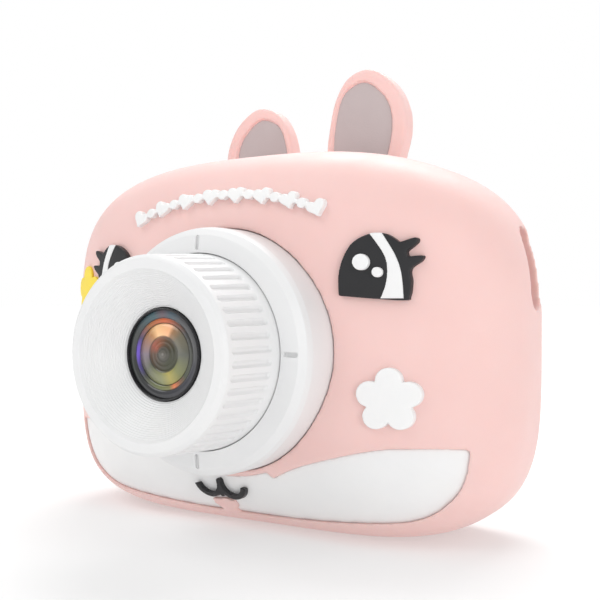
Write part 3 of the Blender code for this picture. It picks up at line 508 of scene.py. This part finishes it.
def grid_sphere(around, along):
    """A unit sphere about the y axis, as vertices and faces."""
    verts, faces = [(0.0, -1.0, 0.0)], []
    for row in range(1, along):
        tilt = math.pi * row / along
        for step in range(around):
            angle = math.tau * step / around
            across, up = math.sin(tilt) * math.cos(angle), math.sin(tilt) * math.sin(angle)
            verts.append((across, -math.cos(tilt), up))
    verts.append((0.0, 1.0, 0.0))
    last = len(verts) - 1
    for step in range(around):
        after = (step + 1) % around
        faces.append((0, 1 + step, 1 + after))
        for row in range(along - 2):
            here, there = 1 + row * around, 1 + (row + 1) * around
            faces.append((there + step, there + after, here + after, here + step))
        faces.append((last, last - around + after, last - around + step))
    return verts, faces


def form(grow, around=192, along=96):
    """The outer form moved outwards by grow."""
    verts, faces = grid_sphere(around, along)
    places = []
    for across, back, up in verts:
        spread = math.hypot(across, up)
        reach, share = form_reach(math.atan2(up, across), grow)
        if back <= 0:
            edge = TOP_EDGE if up >= 0 else BOTTOM_EDGE
            crown = SIDE_CROWN + (CAP_CROWN - SIDE_CROWN) * share
            square = SIDE_EDGE + (edge - SIDE_EDGE) * share
            scale = spread ** (2 / crown)
            y = WIDEST_Y - (FRONT_DEPTH + grow) * (-back) ** (2 / square)
        else:
            scale = spread ** (2 / BACK_EDGE)
            y = WIDEST_Y + (BACK_DEPTH + grow) * back ** (2 / BACK_EDGE)
        length = spread or 1.0
        places.append(
            placed(reach * scale * across / length, y, MIDDLE_RISE + reach * scale * up / length)
        )
    mesh = bpy.data.meshes.new("form")
    mesh.from_pydata(places, [], faces)
    mesh.update()
    return mesh


def form_outline(share, steps=120):
    outline = []
    for step in range(steps):
        angle = math.tau * step / steps
        reach = form_reach(angle, 0.0)[0] * share
        outline.append((reach * math.cos(angle), MIDDLE_RISE + reach * math.sin(angle)))
    return outline


def skin(outlines, raise_by, base, voxel=0.14 * MM, rounds=4):
    """A skin on the sleeve in the shape of the outlines, between two offsets of the form."""
    solids = [prism(outline, FACE_NEAR, FACE_FAR) for outline in outlines]
    steps = [("UNION", solid) for solid in solids[1:]]
    mesh = combined(solids[0], *steps, ("INTERSECT", form(raise_by)), ("DIFFERENCE", form(base)))
    return softened(mesh, voxel, rounds)


# Materials


class Nodes:
    """A short way to write a material's nodes."""

    def __init__(self, name):
        self.material = bpy.data.materials.new(name)
        self.material.use_nodes = True
        self.tree = self.material.node_tree
        self.shader = self.tree.nodes["Principled BSDF"]
        self.place = self.add("ShaderNodeTexCoord").outputs["Object"]

    def add(self, kind, **values):
        node = self.tree.nodes.new(kind)
        for key, value in values.items():
            setattr(node, key, value)
        return node

    def link(self, source, target):
        self.tree.links.new(source, target)

    def noise(self, scale, detail=4.0, roughness=0.5):
        node = self.add("ShaderNodeTexNoise")
        node.inputs["Scale"].default_value = scale
        node.inputs["Detail"].default_value = detail
        node.inputs["Roughness"].default_value = roughness
        self.link(self.place, node.inputs["Vector"])
        return node.outputs["Fac"]

    def ramp(self, source, *stops):
        """Colours or values along a source. Each stop is (position, colour or value)."""
        node = self.add("ShaderNodeValToRGB")
        band = node.color_ramp
        while len(band.elements) < len(stops):
            band.elements.new(0.5)
        for element, (position, value) in zip(band.elements, stops):
            colour = value if isinstance(value, tuple) else (value, value, value)
            element.position = position
            element.color = (*colour, 1.0)
        self.link(source, node.inputs["Fac"])
        return node.outputs["Color"]

    def mix(self, share, first, second, blend="MIX"):
        node = self.add("ShaderNodeMix", data_type="RGBA", blend_type=blend)
        for index, value in ((0, share), (6, first), (7, second)):
            if isinstance(value, (int, float)):
                node.inputs[index].default_value = value
            elif isinstance(value, tuple):
                node.inputs[index].default_value = (*value, 1.0)
            else:
                self.link(value, node.inputs[index])
        return node.outputs[2]

    def math(self, operation, first, second=None):
        node = self.add("ShaderNodeMath", operation=operation)
        for socket, value in zip(node.inputs, (first, second)):
            if value is None:
                continue
            if isinstance(value, (int, float)):
                socket.default_value = value
            else:
                self.link(value, socket)
        return node.outputs[0]

    def bump(self, height, distance):
        node = self.add("ShaderNodeBump")
        node.inputs["Strength"].default_value = 1.0
        node.inputs["Distance"].default_value = distance
        self.link(height, node.inputs["Height"])
        self.link(node.outputs["Normal"], self.shader.inputs["Normal"])

    def edges(self):
        """High on outward edges and low in creases."""
        return self.add("ShaderNodeNewGeometry").outputs["Pointiness"]

    def set(self, **values):
        for key, value in values.items():
            socket = self.shader.inputs[key.replace("_", " ")]
            socket.default_value = (*value, 1.0) if socket.type == "RGBA" else value

    def feed(self, name, source):
        self.link(source, self.shader.inputs[name])


def moulded(name, colour, dark, roughness, grain_scale, grain_depth, crease_shade_depth=0.12, **values):
    """A moulded material: uneven colour, painted shade that darkens the creases, and a fine grain."""
    nodes = Nodes(name)
    mottle = nodes.ramp(nodes.noise(90.0, 3.0), (0.3, 0.0), (0.7, 1.0))
    base = nodes.mix(mottle, dark, colour)
    # Painted shade: the colour is darkened where Pointiness is low, in creases and hollows.
    painted_crease_shade = nodes.ramp(nodes.edges(), (0.40, 1.0 - crease_shade_depth), (0.49, 1.0), (0.56, 1.0))
    nodes.feed("Base Color", nodes.mix(1.0, base, painted_crease_shade, "MULTIPLY"))
    wear = nodes.ramp(nodes.noise(260.0, 5.0), (0.35, roughness - 0.05), (0.7, roughness + 0.07))
    nodes.feed("Roughness", wear)
    nodes.bump(nodes.noise(grain_scale, 3.0, 0.6), grain_depth)
    nodes.set(**values)
    return nodes.material


PINK_SILICONE = moulded(
    "pink_silicone", (0.885, 0.604, 0.572), (0.868, 0.580, 0.548), 0.50, 5200.0, 0.00002,
    Subsurface_Weight=0.12, Subsurface_Radius=(0.0030, 0.0012, 0.0008), Subsurface_Scale=1.0,
    Specular_IOR_Level=0.35, Sheen_Weight=0.18, Sheen_Roughness=0.45,
)
CASE_PLASTIC = moulded(
    "pink_case_plastic", (0.86, 0.50, 0.46), (0.83, 0.47, 0.43), 0.42, 4200.0, 0.00003
)
WHITE_PLASTIC = moulded(
    "white_plastic", (0.82, 0.82, 0.82), (0.79, 0.795, 0.80), 0.38, 3800.0, 0.000012
)
WHITE_SILICONE = moulded(
    "white_silicone", (0.88, 0.88, 0.875), (0.85, 0.85, 0.85), 0.45, 5200.0, 0.000015,
    Subsurface_Weight=0.08, Subsurface_Radius=(0.002, 0.0018, 0.0016), Subsurface_Scale=1.0,
)
CHARCOAL = moulded(
    "charcoal_rubber", (0.024, 0.024, 0.026), (0.017, 0.017, 0.019), 0.42, 4200.0, 0.00002,
    Specular_IOR_Level=0.35,
)
BLACK_PLASTIC = moulded(
    "black_plastic", (0.018, 0.018, 0.021), (0.012, 0.012, 0.014), 0.22, 3000.0, 0.00001
)
EAR_GREY = moulded("grey_ear_inlay", (0.52, 0.46, 0.46), (0.48, 0.42, 0.42), 0.62, 3600.0, 0.00003)
YELLOW = moulded("yellow_rubber", (0.98, 0.76, 0.06), (0.95, 0.72, 0.045), 0.45, 5200.0, 0.00002)


def metal(name, colour, roughness, stretch):
    """Plated steel with fine lengthwise scratches."""
    nodes = Nodes(name)
    mapping = nodes.add("ShaderNodeMapping")
    mapping.inputs["Scale"].default_value = stretch
    nodes.link(nodes.place, mapping.inputs["Vector"])
    nodes.place = mapping.outputs["Vector"]
    scratches = nodes.noise(900.0, 4.0)
    nodes.feed("Base Color", nodes.mix(scratches, tuple(value * 0.85 for value in colour), colour))
    nodes.feed("Roughness", nodes.ramp(scratches, (0.3, roughness - 0.06), (0.7, roughness + 0.1)))
    nodes.bump(scratches, 0.000008)
    nodes.set(Metallic=1.0)
    return nodes.material


STEEL = metal("steel", (0.62, 0.62, 0.64), 0.28, (1.0, 1.0, 0.08))
FOIL = metal("foil", (0.60, 0.61, 0.64), 0.36, (0.4, 1.0, 1.0))


def board_material():
    """Green solder mask with copper tracks showing through."""
    nodes = Nodes("board_green")
    tracks = nodes.add("ShaderNodeTexBrick")
    tracks.inputs["Scale"].default_value = 420.0
    tracks.inputs["Color1"].default_value = (0.02, 0.16, 0.07, 1.0)
    tracks.inputs["Color2"].default_value = (0.03, 0.20, 0.09, 1.0)
    tracks.inputs["Mortar"].default_value = (0.08, 0.30, 0.12, 1.0)
    nodes.link(nodes.place, tracks.inputs["Vector"])
    nodes.feed("Base Color", tracks.outputs["Color"])
    nodes.feed("Roughness", nodes.ramp(nodes.noise(300.0), (0.3, 0.3), (0.7, 0.45)))
    nodes.bump(tracks.outputs["Fac"], 0.00003)
    return nodes.material


BOARD = board_material()


def screen_material():
    """A dark glossy screen window with a fine dust of smudges."""
    nodes = Nodes("screen_glass")
    nodes.feed("Base Color", nodes.mix(nodes.noise(40.0), (0.008, 0.009, 0.012), (0.014, 0.015, 0.020)))
    nodes.feed("Roughness", nodes.ramp(nodes.noise(150.0, 5.0), (0.4, 0.05), (0.8, 0.16)))
    nodes.bump(nodes.noise(60.0, 1.0), 0.000004)
    nodes.set(Coat_Weight=0.6, Coat_Roughness=0.05)
    return nodes.material


SCREEN_GLASS = screen_material()


# Sleeve and face


def ear_outlines():
    return {"right": EAR, "left": mirrored(EAR, LEFT_EAR_SHIFT, LEFT_EAR_DROP)}


def inlay_outlines():
    left = mirrored(EAR_INLAY, LEFT_EAR_SHIFT, LEFT_EAR_DROP)
    return {"right": EAR_INLAY, "left": [(x, z) for x, z in left if z >= INLAY_BOTTOM]}


def top_place(side):
    """(height of the sleeve's top, its tilt) at a top button."""
    share = TOP_BUTTON_X / HALF_WIDTH
    rest = 1 - share**TOP_POWER
    height = MIDDLE_RISE + TOP_RISE * rest ** (1 / TOP_POWER)
    fall = TOP_RISE / HALF_WIDTH * rest ** (1 / TOP_POWER - 1) * share ** (TOP_POWER - 1)
    return height, side * math.atan(fall)


def top_turned(profile, side, steps=64):
    """A profile of (radius, height above the sleeve's top), turned about a top button's axis."""
    mesh = turned(profile, steps)
    height, tilt = top_place(side)
    upright = Matrix.Rotation(-math.pi / 2, 4, "X")
    lean = Matrix.Rotation(tilt, 4, "Y")
    home = Matrix.Translation(Vector(placed(0.0, 0.0, 0.0)))
    there = Matrix.Translation(Vector(placed(side * TOP_BUTTON_X, TOP_BUTTON_Y, height)))
    mesh.transform(there @ lean @ upright @ home.inverted())
    return mesh


def make_sleeve():
    far = 80 * MM
    steps = []
    for side, outline in ear_outlines().items():
        steps.append(("UNION", softened(prism(outline, EAR_FRONT_Y, EAR_BACK_Y), 0.35 * MM, 14)))
    steps.append(("DIFFERENCE", block((-far, -far, -far), (far, far, -LENS_HEIGHT))))
    steps.append(("DIFFERENCE", form(-SLEEVE_WALL, 96, 48)))
    steps.append(("DIFFERENCE", prism(form_outline(REAR_OPENING), 24 * MM, 40 * MM)))
    steps.append(("DIFFERENCE", prism(circle(FLANGE_SIDE + 0.08 * MM, steps=192), -9 * MM, 9 * MM)))
    pocket = combined(
        prism(bib_outline(), FACE_NEAR, FACE_FAR), ("DIFFERENCE", form(BIB_POCKET))
    )
    steps.append(("DIFFERENCE", pocket))
    for outline in inlay_outlines().values():
        steps.append(("DIFFERENCE", prism(grown(outline, 0.1 * MM), 20 * MM, INLAY_POCKET_Y)))
    slot = rounded_rectangle(*STRAP_SLOT, STRAP_CORNER, (STRAP_Y, STRAP_Z))
    for side in (-1, 1):
        steps.append(("DIFFERENCE", side_prism(slot, side * 36 * MM, side * 50 * MM)))
        above, below = 4.0 * MM, -6.0 * MM
        hole = [(0.0, above), (TOP_HOLE_RADIUS, above), (TOP_HOLE_RADIUS, below), (0.0, below)]
        steps.append(("DIFFERENCE", top_turned(hole, side)))
    port = rounded_rectangle(*PORT_SIZE, PORT_CORNER, (PORT_Y, PORT_Z))
    steps.append(("DIFFERENCE", side_prism(port, -33 * MM, -50 * MM)))
    mesh = combined(form(0.0), *steps)
    mesh = softened(mesh, 0.30 * MM, 6)
    replaced = ("silicone_sleeve", "ear_right", "ear_left")
    piece("sleeve", mesh, PINK_SILICONE, replaces=replaced)


def make_face():
    for side in ("right", "left"):
        eye, white = EYE, EYE_WHITE
        glints = (circle(LARGE_GLINT_RADIUS, LARGE_GLINT), circle(SMALL_GLINT_RADIUS, SMALL_GLINT))
        if side == "left":
            eye, white = mirrored(eye, LEFT_EYE_SHIFT), mirrored(white, LEFT_EYE_SHIFT)
            glints = tuple(mirrored(glint, LEFT_EYE_SHIFT) for glint in glints)
        base = skin([eye], OVERLAY_RAISE, OVERLAY_ROOT)
        piece(f"eye_base_{side}", base, CHARCOAL, replaces=(f"eye_{side}",))
        band = combined(prism(white, FACE_NEAR, FACE_FAR), ("INTERSECT", prism(eye, -7 * MM, 14 * MM)))
        band = combined(band, ("INTERSECT", form(OVERLAY_RAISE + 0.15 * MM)), ("DIFFERENCE", form(0.0)))
        band = softened(band, 0.1 * MM, 3)
        piece(f"eye_crescent_{side}", band, WHITE_SILICONE, replaces=(f"eye_white_{side}",))
        for size, glint in zip(("large", "small"), glints):
            piece(
                f"glint_{size}_{side}", skin([glint], 1.5 * MM, 0.6 * MM, 0.09 * MM, 10),
                WHITE_SILICONE, replaces=(f"eye_glint_{size}_{side}",),
            )
        inlay = softened(prism(inlay_outlines()[side], INLAY_NEAR, INLAY_FAR), 0.12 * MM, 2)
        piece(f"ear_lining_{side}", inlay, EAR_GREY, replaces=(f"ear_inlay_{side}",))
    white_flower = skin([flower(FLOWER_RADIUS, CHEEK_FLOWER)], OVERLAY_RAISE, OVERLAY_ROOT)
    piece("flower_on_cheek", white_flower, WHITE_SILICONE, replaces=("cheek_flower",))
    side_flower = skin([flower(FLOWER_RADIUS, YELLOW_FLOWER)], YELLOW_RAISE, OVERLAY_ROOT)
    piece("flower_by_eye", side_flower, YELLOW, replaces=("yellow_flower",))
    garland = skin(garland_outlines(), 1.1 * MM, OVERLAY_ROOT, 0.12 * MM, 3)
    piece("heart_garland", garland, WHITE_SILICONE, replaces=("garland",))
    bib = skin([grown(bib_outline(), 0.06 * MM)], -BIB_SINK, -1.45 * MM, 0.22 * MM, 3)
    piece("chin_bib", bib, WHITE_SILICONE, replaces=("bib",))
    smile = skin(mouth_outlines(), 0.3 * MM, -1.0 * MM, 0.1 * MM, 4)
    piece("smile", smile, CHARCOAL, replaces=("mouth",))


# Lens


def make_flange():
    profile = filleted(
        [
            (HUB_BORE, 13.0 * MM, 0), (HUB_RADIUS, 13.0 * MM), (HUB_RADIUS, 6.4 * MM),
            (RING_SEAT, 6.4 * MM), (RING_SEAT, 7.3 * MM, 0.12 * MM),
            (17.9 * MM, 6.95 * MM, 0.5 * MM), (18.9 * MM, 6.0 * MM, 0.6 * MM),
            (19.2 * MM, 4.9 * MM, 1.0 * MM),
            (FLANGE_SIDE, -1.7 * MM), (6.4 * MM, -1.7 * MM), (6.4 * MM, 2.4 * MM),
            (HUB_BORE, 2.4 * MM),
        ],
        0.15 * MM, 5,
    )
    marks = []
    for quarter in range(4):
        angle = math.pi / 2 * quarter
        centre = polar((0.0, 0.0), INDEX_MARK_RADIUS, angle)
        mark = prism(capsule(2.3 * MM, 0.75 * MM, centre, angle), -9 * MM, -6.65 * MM)
        marks.append(("DIFFERENCE", mark))
    mesh = combined(turned(profile, 240), *marks)
    piece("lens_collar", mesh, WHITE_PLASTIC, replaces=("lens_flange",), sharp=35.0)


def grip(radius, front, angle):
    """Round-ended grooves in the outer wall of the focus ring."""
    if radius < RING_RIM_RADIUS - 0.05 * MM:
        return radius
    turn = (angle / math.tau * GRIP_GROOVES) % 1.0
    across = abs(turn - 0.5) * math.tau * radius / GRIP_GROOVES
    beyond = max(front - GRIP_FRONT, GRIP_BACK - front, 0.0)
    away = math.hypot(across, beyond) / GRIP_WIDTH
    return radius - GRIP_DEPTH * (1 - min(away, 1.0) ** 5)


def make_ring():
    wall = [
        (RING_RIM_RADIUS + (RING_BASE_RADIUS - RING_RIM_RADIUS) * share, 18.4 * MM - 11.6 * MM * share)
        for share in (step / 60 for step in range(61))
    ]
    front = filleted(
        [
            (DISH_RADIUS + 0.05 * MM, RING_FRONT - 0.25 * MM), (12.3 * MM, RING_FRONT, 0.2 * MM),
            (13.75 * MM, RING_FRONT, 0.6 * MM), (RING_RIM_RADIUS - 0.06 * MM, RING_FRONT - 0.7 * MM),
            wall[0],
        ],
        0.5 * MM, 6, closed=False,
    )
    dish = []
    points = DISH_GROOVES * 10
    for step in range(points + 1):
        share = step / points
        radius = DISH_HOLE + (DISH_RADIUS - DISH_HOLE) * share
        height = DISH_FLOOR + (RING_FRONT - 0.3 * MM - DISH_FLOOR) * share
        groove = 0.5 - 0.5 * math.cos(math.tau * DISH_GROOVES * share)
        dish.append((radius, height - DISH_GROOVE_DEPTH * groove**2))
    base = 6.7 * MM
    bore, shelf = HUB_RADIUS + 0.3 * MM, 13.3 * MM
    inside = [
        (RING_BASE_RADIUS - 0.1 * MM, base), (13.2 * MM, base), (13.0 * MM, 17.4 * MM),
        (11.0 * MM, 16.0 * MM), (10.6 * MM, 15.0 * MM), (10.6 * MM, base),
        (bore, base), (bore, shelf), (DISH_HOLE, shelf),
    ]
    profile = [*front, *wall[1:], *inside, *dish]
    mesh = turned(profile, GRIP_GROOVES * 14, reach=grip)
    piece("grip_ring", mesh, WHITE_PLASTIC, "focus_ring", ("focus_ring",), 55.0)


def painted_reflection_lens_material():
    """The lens cover with painted reflections: rings whose colours change round the axis, and a painted
    highlight at the centre.
    """
    nodes = Nodes("lens_painted_reflections")
    mapping = nodes.add("ShaderNodeMapping")
    mapping.inputs["Location"].default_value = (0.0, 0.0, -LENS_HEIGHT)
    nodes.link(nodes.place, mapping.inputs["Vector"])
    parts = nodes.add("ShaderNodeSeparateXYZ")
    nodes.link(mapping.outputs["Vector"], parts.inputs["Vector"])
    x, z = parts.outputs["X"], parts.outputs["Z"]
    squares = nodes.math("ADD", nodes.math("MULTIPLY", x, x), nodes.math("MULTIPLY", z, z))
    radius = nodes.math("DIVIDE", nodes.math("SQRT", squares), PAINTED_RINGS_RADIUS)
    wobble = nodes.math("MULTIPLY", nodes.math("SUBTRACT", nodes.noise(260.0, 1.0), 0.5), 0.05)
    turn = nodes.math("ADD", nodes.math("DIVIDE", nodes.math("ARCTAN2", z, x), math.tau), 0.5)
    turn = nodes.math("FRACT", nodes.math("ADD", turn, wobble))
    # Painted reflections: the colours of each ring round the axis, in the glass, the band, the edge and the
    # inner disc, stand in for the room reflected in the lens.
    glass = nodes.ramp(
        turn, (0.0, (0.22, 0.17, 0.21)), (0.10, (0.12, 0.125, 0.09)), (0.24, (0.26, 0.27, 0.12)),
        (0.31, (0.44, 0.37, 0.09)), (0.38, (0.22, 0.23, 0.08)), (0.50, (0.11, 0.115, 0.09)),
        (0.62, (0.17, 0.15, 0.10)), (0.68, (0.34, 0.18, 0.08)), (0.71, (0.98, 0.50, 0.26)),
        (0.81, (1.0, 0.60, 0.29)), (0.86, (0.50, 0.24, 0.09)), (0.92, (0.34, 0.18, 0.13)),
        (1.0, (0.22, 0.17, 0.21)),
    )
    band = nodes.ramp(
        turn, (0.0, (0.13, 0.06, 0.52)), (0.05, (0.05, 0.03, 0.20)), (0.12, (0.05, 0.05, 0.05)),
        (0.22, (0.15, 0.17, 0.06)), (0.29, (0.20, 0.19, 0.06)), (0.32, (0.74, 0.20, 0.07)),
        (0.36, (0.22, 0.10, 0.05)), (0.40, (0.06, 0.07, 0.04)), (0.60, (0.035, 0.035, 0.035)),
        (0.68, (0.18, 0.06, 0.03)), (0.75, (0.62, 0.11, 0.02)), (0.84, (0.34, 0.12, 0.03)),
        (0.92, (0.06, 0.04, 0.12)), (0.97, (0.13, 0.06, 0.50)), (1.0, (0.13, 0.06, 0.52)),
    )
    edge = nodes.ramp(
        turn, (0.0, (0.025, 0.030, 0.025)), (0.25, (0.020, 0.020, 0.026)), (0.42, (0.03, 0.03, 0.045)),
        (0.52, (0.055, 0.055, 0.058)), (0.66, (0.06, 0.06, 0.065)), (0.72, (0.05, 0.09, 0.12)),
        (0.76, (0.12, 0.08, 0.10)), (0.80, (0.04, 0.10, 0.12)), (0.90, (0.035, 0.04, 0.04)),
        (1.0, (0.025, 0.030, 0.025)),
    )
    inner_painted_reflections = nodes.ramp(
        turn, (0.0, (0.10, 0.045, 0.02)), (0.15, (0.05, 0.035, 0.015)), (0.35, (0.035, 0.04, 0.01)),
        (0.55, (0.035, 0.035, 0.012)), (0.70, (0.09, 0.05, 0.02)), (0.82, (0.26, 0.08, 0.03)),
        (0.92, (0.36, 0.085, 0.045)), (1.0, (0.10, 0.045, 0.02)),
    )
    # Painted highlight: a light grey centre that darkens outwards.
    eye = nodes.ramp(
        radius, (0.0, (0.22, 0.20, 0.18)), (0.05, (0.12, 0.11, 0.09)), (0.15, (0.05, 0.045, 0.03))
    )
    colour = nodes.mix(nodes.ramp(radius, (0.12, 0.0), (0.20, 1.0)), eye, inner_painted_reflections)
    rings = nodes.math("SINE", nodes.math("MULTIPLY", radius, 110.0))
    shade = nodes.ramp(nodes.math("ADD", nodes.math("MULTIPLY", rings, 0.5), 0.5), (0.0, 0.72), (1.0, 1.0))
    fade = nodes.ramp(radius, (0.0, 0.8), (0.40, 0.15))
    colour = nodes.mix(fade, colour, nodes.mix(1.0, colour, shade, "MULTIPLY"))
    for start, end, over in ((0.355, 0.385, glass), (0.635, 0.655, band), (0.735, 0.765, edge)):
        colour = nodes.mix(nodes.ramp(radius, (start, 0.0), (end, 1.0)), colour, over)
    lines = nodes.ramp(
        radius, (0.355, 1.0), (0.375, 0.35), (0.395, 1.0), (0.625, 1.0), (0.645, 0.12), (0.665, 1.0),
        (0.735, 1.0), (0.755, 0.30), (0.775, 1.0),
    )
    nodes.feed("Base Color", nodes.mix(1.0, colour, lines, "MULTIPLY"))
    nodes.feed("Roughness", nodes.ramp(nodes.noise(500.0), (0.3, 0.30), (0.7, 0.38)))
    nodes.bump(nodes.noise(200.0, 1.0), 0.000004)
    nodes.set(Coat_Weight=1.0, Coat_Roughness=0.04, Specular_IOR_Level=0.3)
    return nodes.material


def make_lens():
    rim = filleted(
        [
            (6.45 * MM, 15.5 * MM), (6.58 * MM, 15.5 * MM), (6.72 * MM, 15.2 * MM),
            (BEZEL_RADIUS, 14.4 * MM), (BEZEL_RADIUS, 3.0 * MM, 0), (6.1 * MM, 3.0 * MM, 0),
            (6.1 * MM, 12.4 * MM, 0), (6.38 * MM, 12.5 * MM), (6.38 * MM, 15.2 * MM),
        ],
        0.10 * MM, 4,
    )
    piece(
        "lens_rim", turned(rim, 192), BLACK_PLASTIC,
        replaces=("lens_bezel",), sharp=50.0,
    )
    front = [
        (0.0, 14.30), (0.35, 14.28), (0.7, 14.20), (1.0, 14.10), (1.1, 14.14), (1.2, 14.10), (1.7, 14.00),
        (1.8, 14.04), (1.9, 14.00), (2.45, 13.90), (2.60, 14.02), (2.75, 14.10), (3.6, 14.02), (4.40, 13.86),
        (4.50, 13.74), (4.60, 13.90), (5.15, 13.98), (5.25, 13.90), (5.35, 14.02), (5.9, 14.10),
    ]
    profile = [(radius * MM, (height + COVER_RAISE) * MM) for radius, height in front]
    profile += [(COVER_RADIUS, 15.0 * MM), (COVER_RADIUS, 12.6 * MM), (0.0, 12.6 * MM)]
    cover = turned(profile, 192)
    piece(
        "lens_cover", cover, painted_reflection_lens_material(),
        replaces=("lens_window",), sharp=60.0,
    )


# Buttons and keys


def cap_profile(radius, crown, foot, collar=0.0):
    """A button's profile as (radius, height), with a dished crown and a rounded edge."""
    profile = [(0.0, crown - 0.12 * MM)]
    for step in range(1, 9):
        share = step / 8
        profile.append((radius * 0.72 * share, crown - 0.12 * MM * (1 - share**2)))
    for step in range(9):
        angle = math.pi / 2 * step / 8
        corner = 0.35 * MM
        out, up = corner * math.sin(angle), corner * math.cos(angle)
        profile.append((radius - corner + out, crown - corner + up))
    if collar:
        profile += [(radius, foot + 0.7 * MM), (collar, foot + 0.7 * MM), (collar, foot)]
    else:
        profile.append((radius, foot))
    return [*profile, (0.0, foot)]


def back_turned(profile, centre):
    """A profile of (radius, y), turned about an axis along y."""
    return turned([(radius, -y) for radius, y in profile], 96, centre)


def triangle(size, centre, turn):
    corners = [polar(centre, size, turn + math.tau * step / 3) for step in range(3)]
    outline = []
    for i, corner in enumerate(corners):
        before, after = corners[i - 1], corners[(i + 1) % 3]
        start = [corner[axis] * 0.8 + before[axis] * 0.2 for axis in (0, 1)]
        end = [corner[axis] * 0.8 + after[axis] * 0.2 for axis in (0, 1)]
        for step in range(5):
            t = step / 4
            outline.append(
                tuple(
                    start[axis] * (1 - t) ** 2 + corner[axis] * 2 * t * (1 - t) + end[axis] * t**2
                    for axis in (0, 1)
                )
            )
    return outline


def key_marks(name, centre):
    """The raised mark on a key: an arrow, a play sign, three bars or a dot."""
    turns = {"right": 0.0, "up": math.pi / 2, "left": math.pi, "down": -math.pi / 2}
    if name in turns:
        return [triangle(0.75 * MM, centre, turns[name])]
    if name == "play":
        return [triangle(1.0 * MM, centre, math.pi)]
    if name == "menu":
        return [
            rounded_rectangle(2.0 * MM, 0.36 * MM, 0.17 * MM, (centre[0], centre[1] + row * 0.72 * MM), 4)
            for row in (-1, 0, 1)
        ]
    return [circle(0.8 * MM, centre)]


def make_keys():
    for name in KEYS:
        node = f"{name}_button"
        low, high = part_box(node)
        centre = ((low[0] + high[0]) / 2, (low[2] + high[2]) / 2 - LENS_HEIGHT)
        back, front = high[1] - SEAT_Y, low[1] - SEAT_Y
        radius = KEY_RADII.get(name, ARROW_KEY_RADIUS)
        cap = back_turned(cap_profile(radius, back, front, radius + 0.5 * MM), centre)
        piece(f"{name}_key", cap, WHITE_PLASTIC, node, (node,), 50.0)
        for index, outline in enumerate(key_marks(name, centre)):
            mark = softened(prism(outline, back - 0.4 * MM, back - 0.02 * MM), 0.07 * MM, 2)
            piece(f"{name}_mark_{index}", mark, EAR_GREY, node)
    for side, name in ((-1, "shutter"), (1, "power")):
        node = f"{name}_button"
        profile = cap_profile(TOP_CAP_RADIUS, TOP_CAP_CROWN, TOP_CAP_FOOT, TOP_CAP_COLLAR)
        cap = top_turned(profile, side, 96)
        piece(f"{name}_cap", cap, WHITE_PLASTIC, node, (node,), 50.0)


make_keys()
make_sleeve()
make_face()
make_flange()
make_ring()
make_lens()

# CAD pieces that keep their shape

FINISHES = {
    "pink_case_plastic": CASE_PLASTIC,
    "white_plastic": WHITE_PLASTIC,
    "charcoal_rubber": CHARCOAL,
    "black_plastic": BLACK_PLASTIC,
    "grey_ear_inlay": EAR_GREY,
    "yellow_rubber": YELLOW,
    "steel": STEEL,
    "board_green": BOARD,
    "foil": FOIL,
    "dark_glass": SCREEN_GLASS,
    "pink_silicone": PINK_SILICONE,
}
for entry in frame["record"]["subparts"]:
    node = frame["nodes"][entry["node"]]
    for place in node.material_slots:
        place.material = FINISHES[entry["material_slot"]]

# Stage, light and camera


def make_stage():
    shape = bmesh.new()
    bmesh.ops.create_grid(shape, x_segments=2, y_segments=2, size=30.0)
    floor = helper(mesh_from(shape), "floor")
    nodes = Nodes("pale_floor")
    nodes.feed("Base Color", nodes.mix(nodes.noise(4.0), (0.60, 0.60, 0.60), (0.62, 0.62, 0.62)))
    reach = nodes.add("ShaderNodeVectorMath", operation="LENGTH")
    nodes.link(nodes.place, reach.inputs[0])
    glow = nodes.ramp(reach.outputs["Value"], (0.05, NEAR_GLOW), (0.9, FAR_GLOW))
    nodes.feed("Emission Color", glow)
    nodes.set(Roughness=0.9, Specular_IOR_Level=0.0, Emission_Strength=1.0)
    floor.data.materials.append(nodes.material)

    world = bpy.data.worlds.new("studio")
    bpy.context.scene.world = world
    world.use_nodes = True
    tree = world.node_tree
    seen = tree.nodes.new("ShaderNodeLightPath")
    strength = tree.nodes.new("ShaderNodeMapRange")
    strength.inputs["To Min"].default_value = ROOM_LIGHT
    strength.inputs["To Max"].default_value = 1.0
    tree.links.new(seen.outputs["Is Camera Ray"], strength.inputs["Value"])
    tree.links.new(strength.outputs["Result"], tree.nodes["Background"].inputs["Strength"])
    tree.nodes["Background"].inputs["Color"].default_value = (1.0, 1.0, 1.0, 1.0)


def area_light(name, place, size, power):
    """A soft panel aimed at the middle of the camera."""
    light = bpy.data.lights.new(name, "AREA")
    light.shape = "RECTANGLE"
    light.size, light.size_y = size
    light.energy = power
    made = bpy.data.objects.new(name, light)
    bpy.context.scene.collection.objects.link(made)
    made.location = place
    aim = Vector(LIGHT_TARGET) - Vector(place)
    made.rotation_euler = aim.to_track_quat("-Z", "Y").to_euler()


def make_camera():
    lens = bpy.data.cameras.new("main_camera")
    lens.sensor_width = SENSOR_WIDTH
    lens.lens = FOCAL_LENGTH
    lens.clip_start, lens.clip_end = 0.005, 100.0
    camera = bpy.data.objects.new("main_camera", lens)
    bpy.context.scene.collection.objects.link(camera)
    camera.location = placed(*CAMERA_PLACE)
    forward = Vector(CAMERA_AIM)
    camera.rotation_euler = forward.to_track_quat("-Z", "Y").to_euler()
    bpy.context.scene.camera = camera


make_stage()
for light in LIGHTS:
    area_light(*light)
make_camera()
bpy.context.scene.view_settings.view_transform = "Standard"
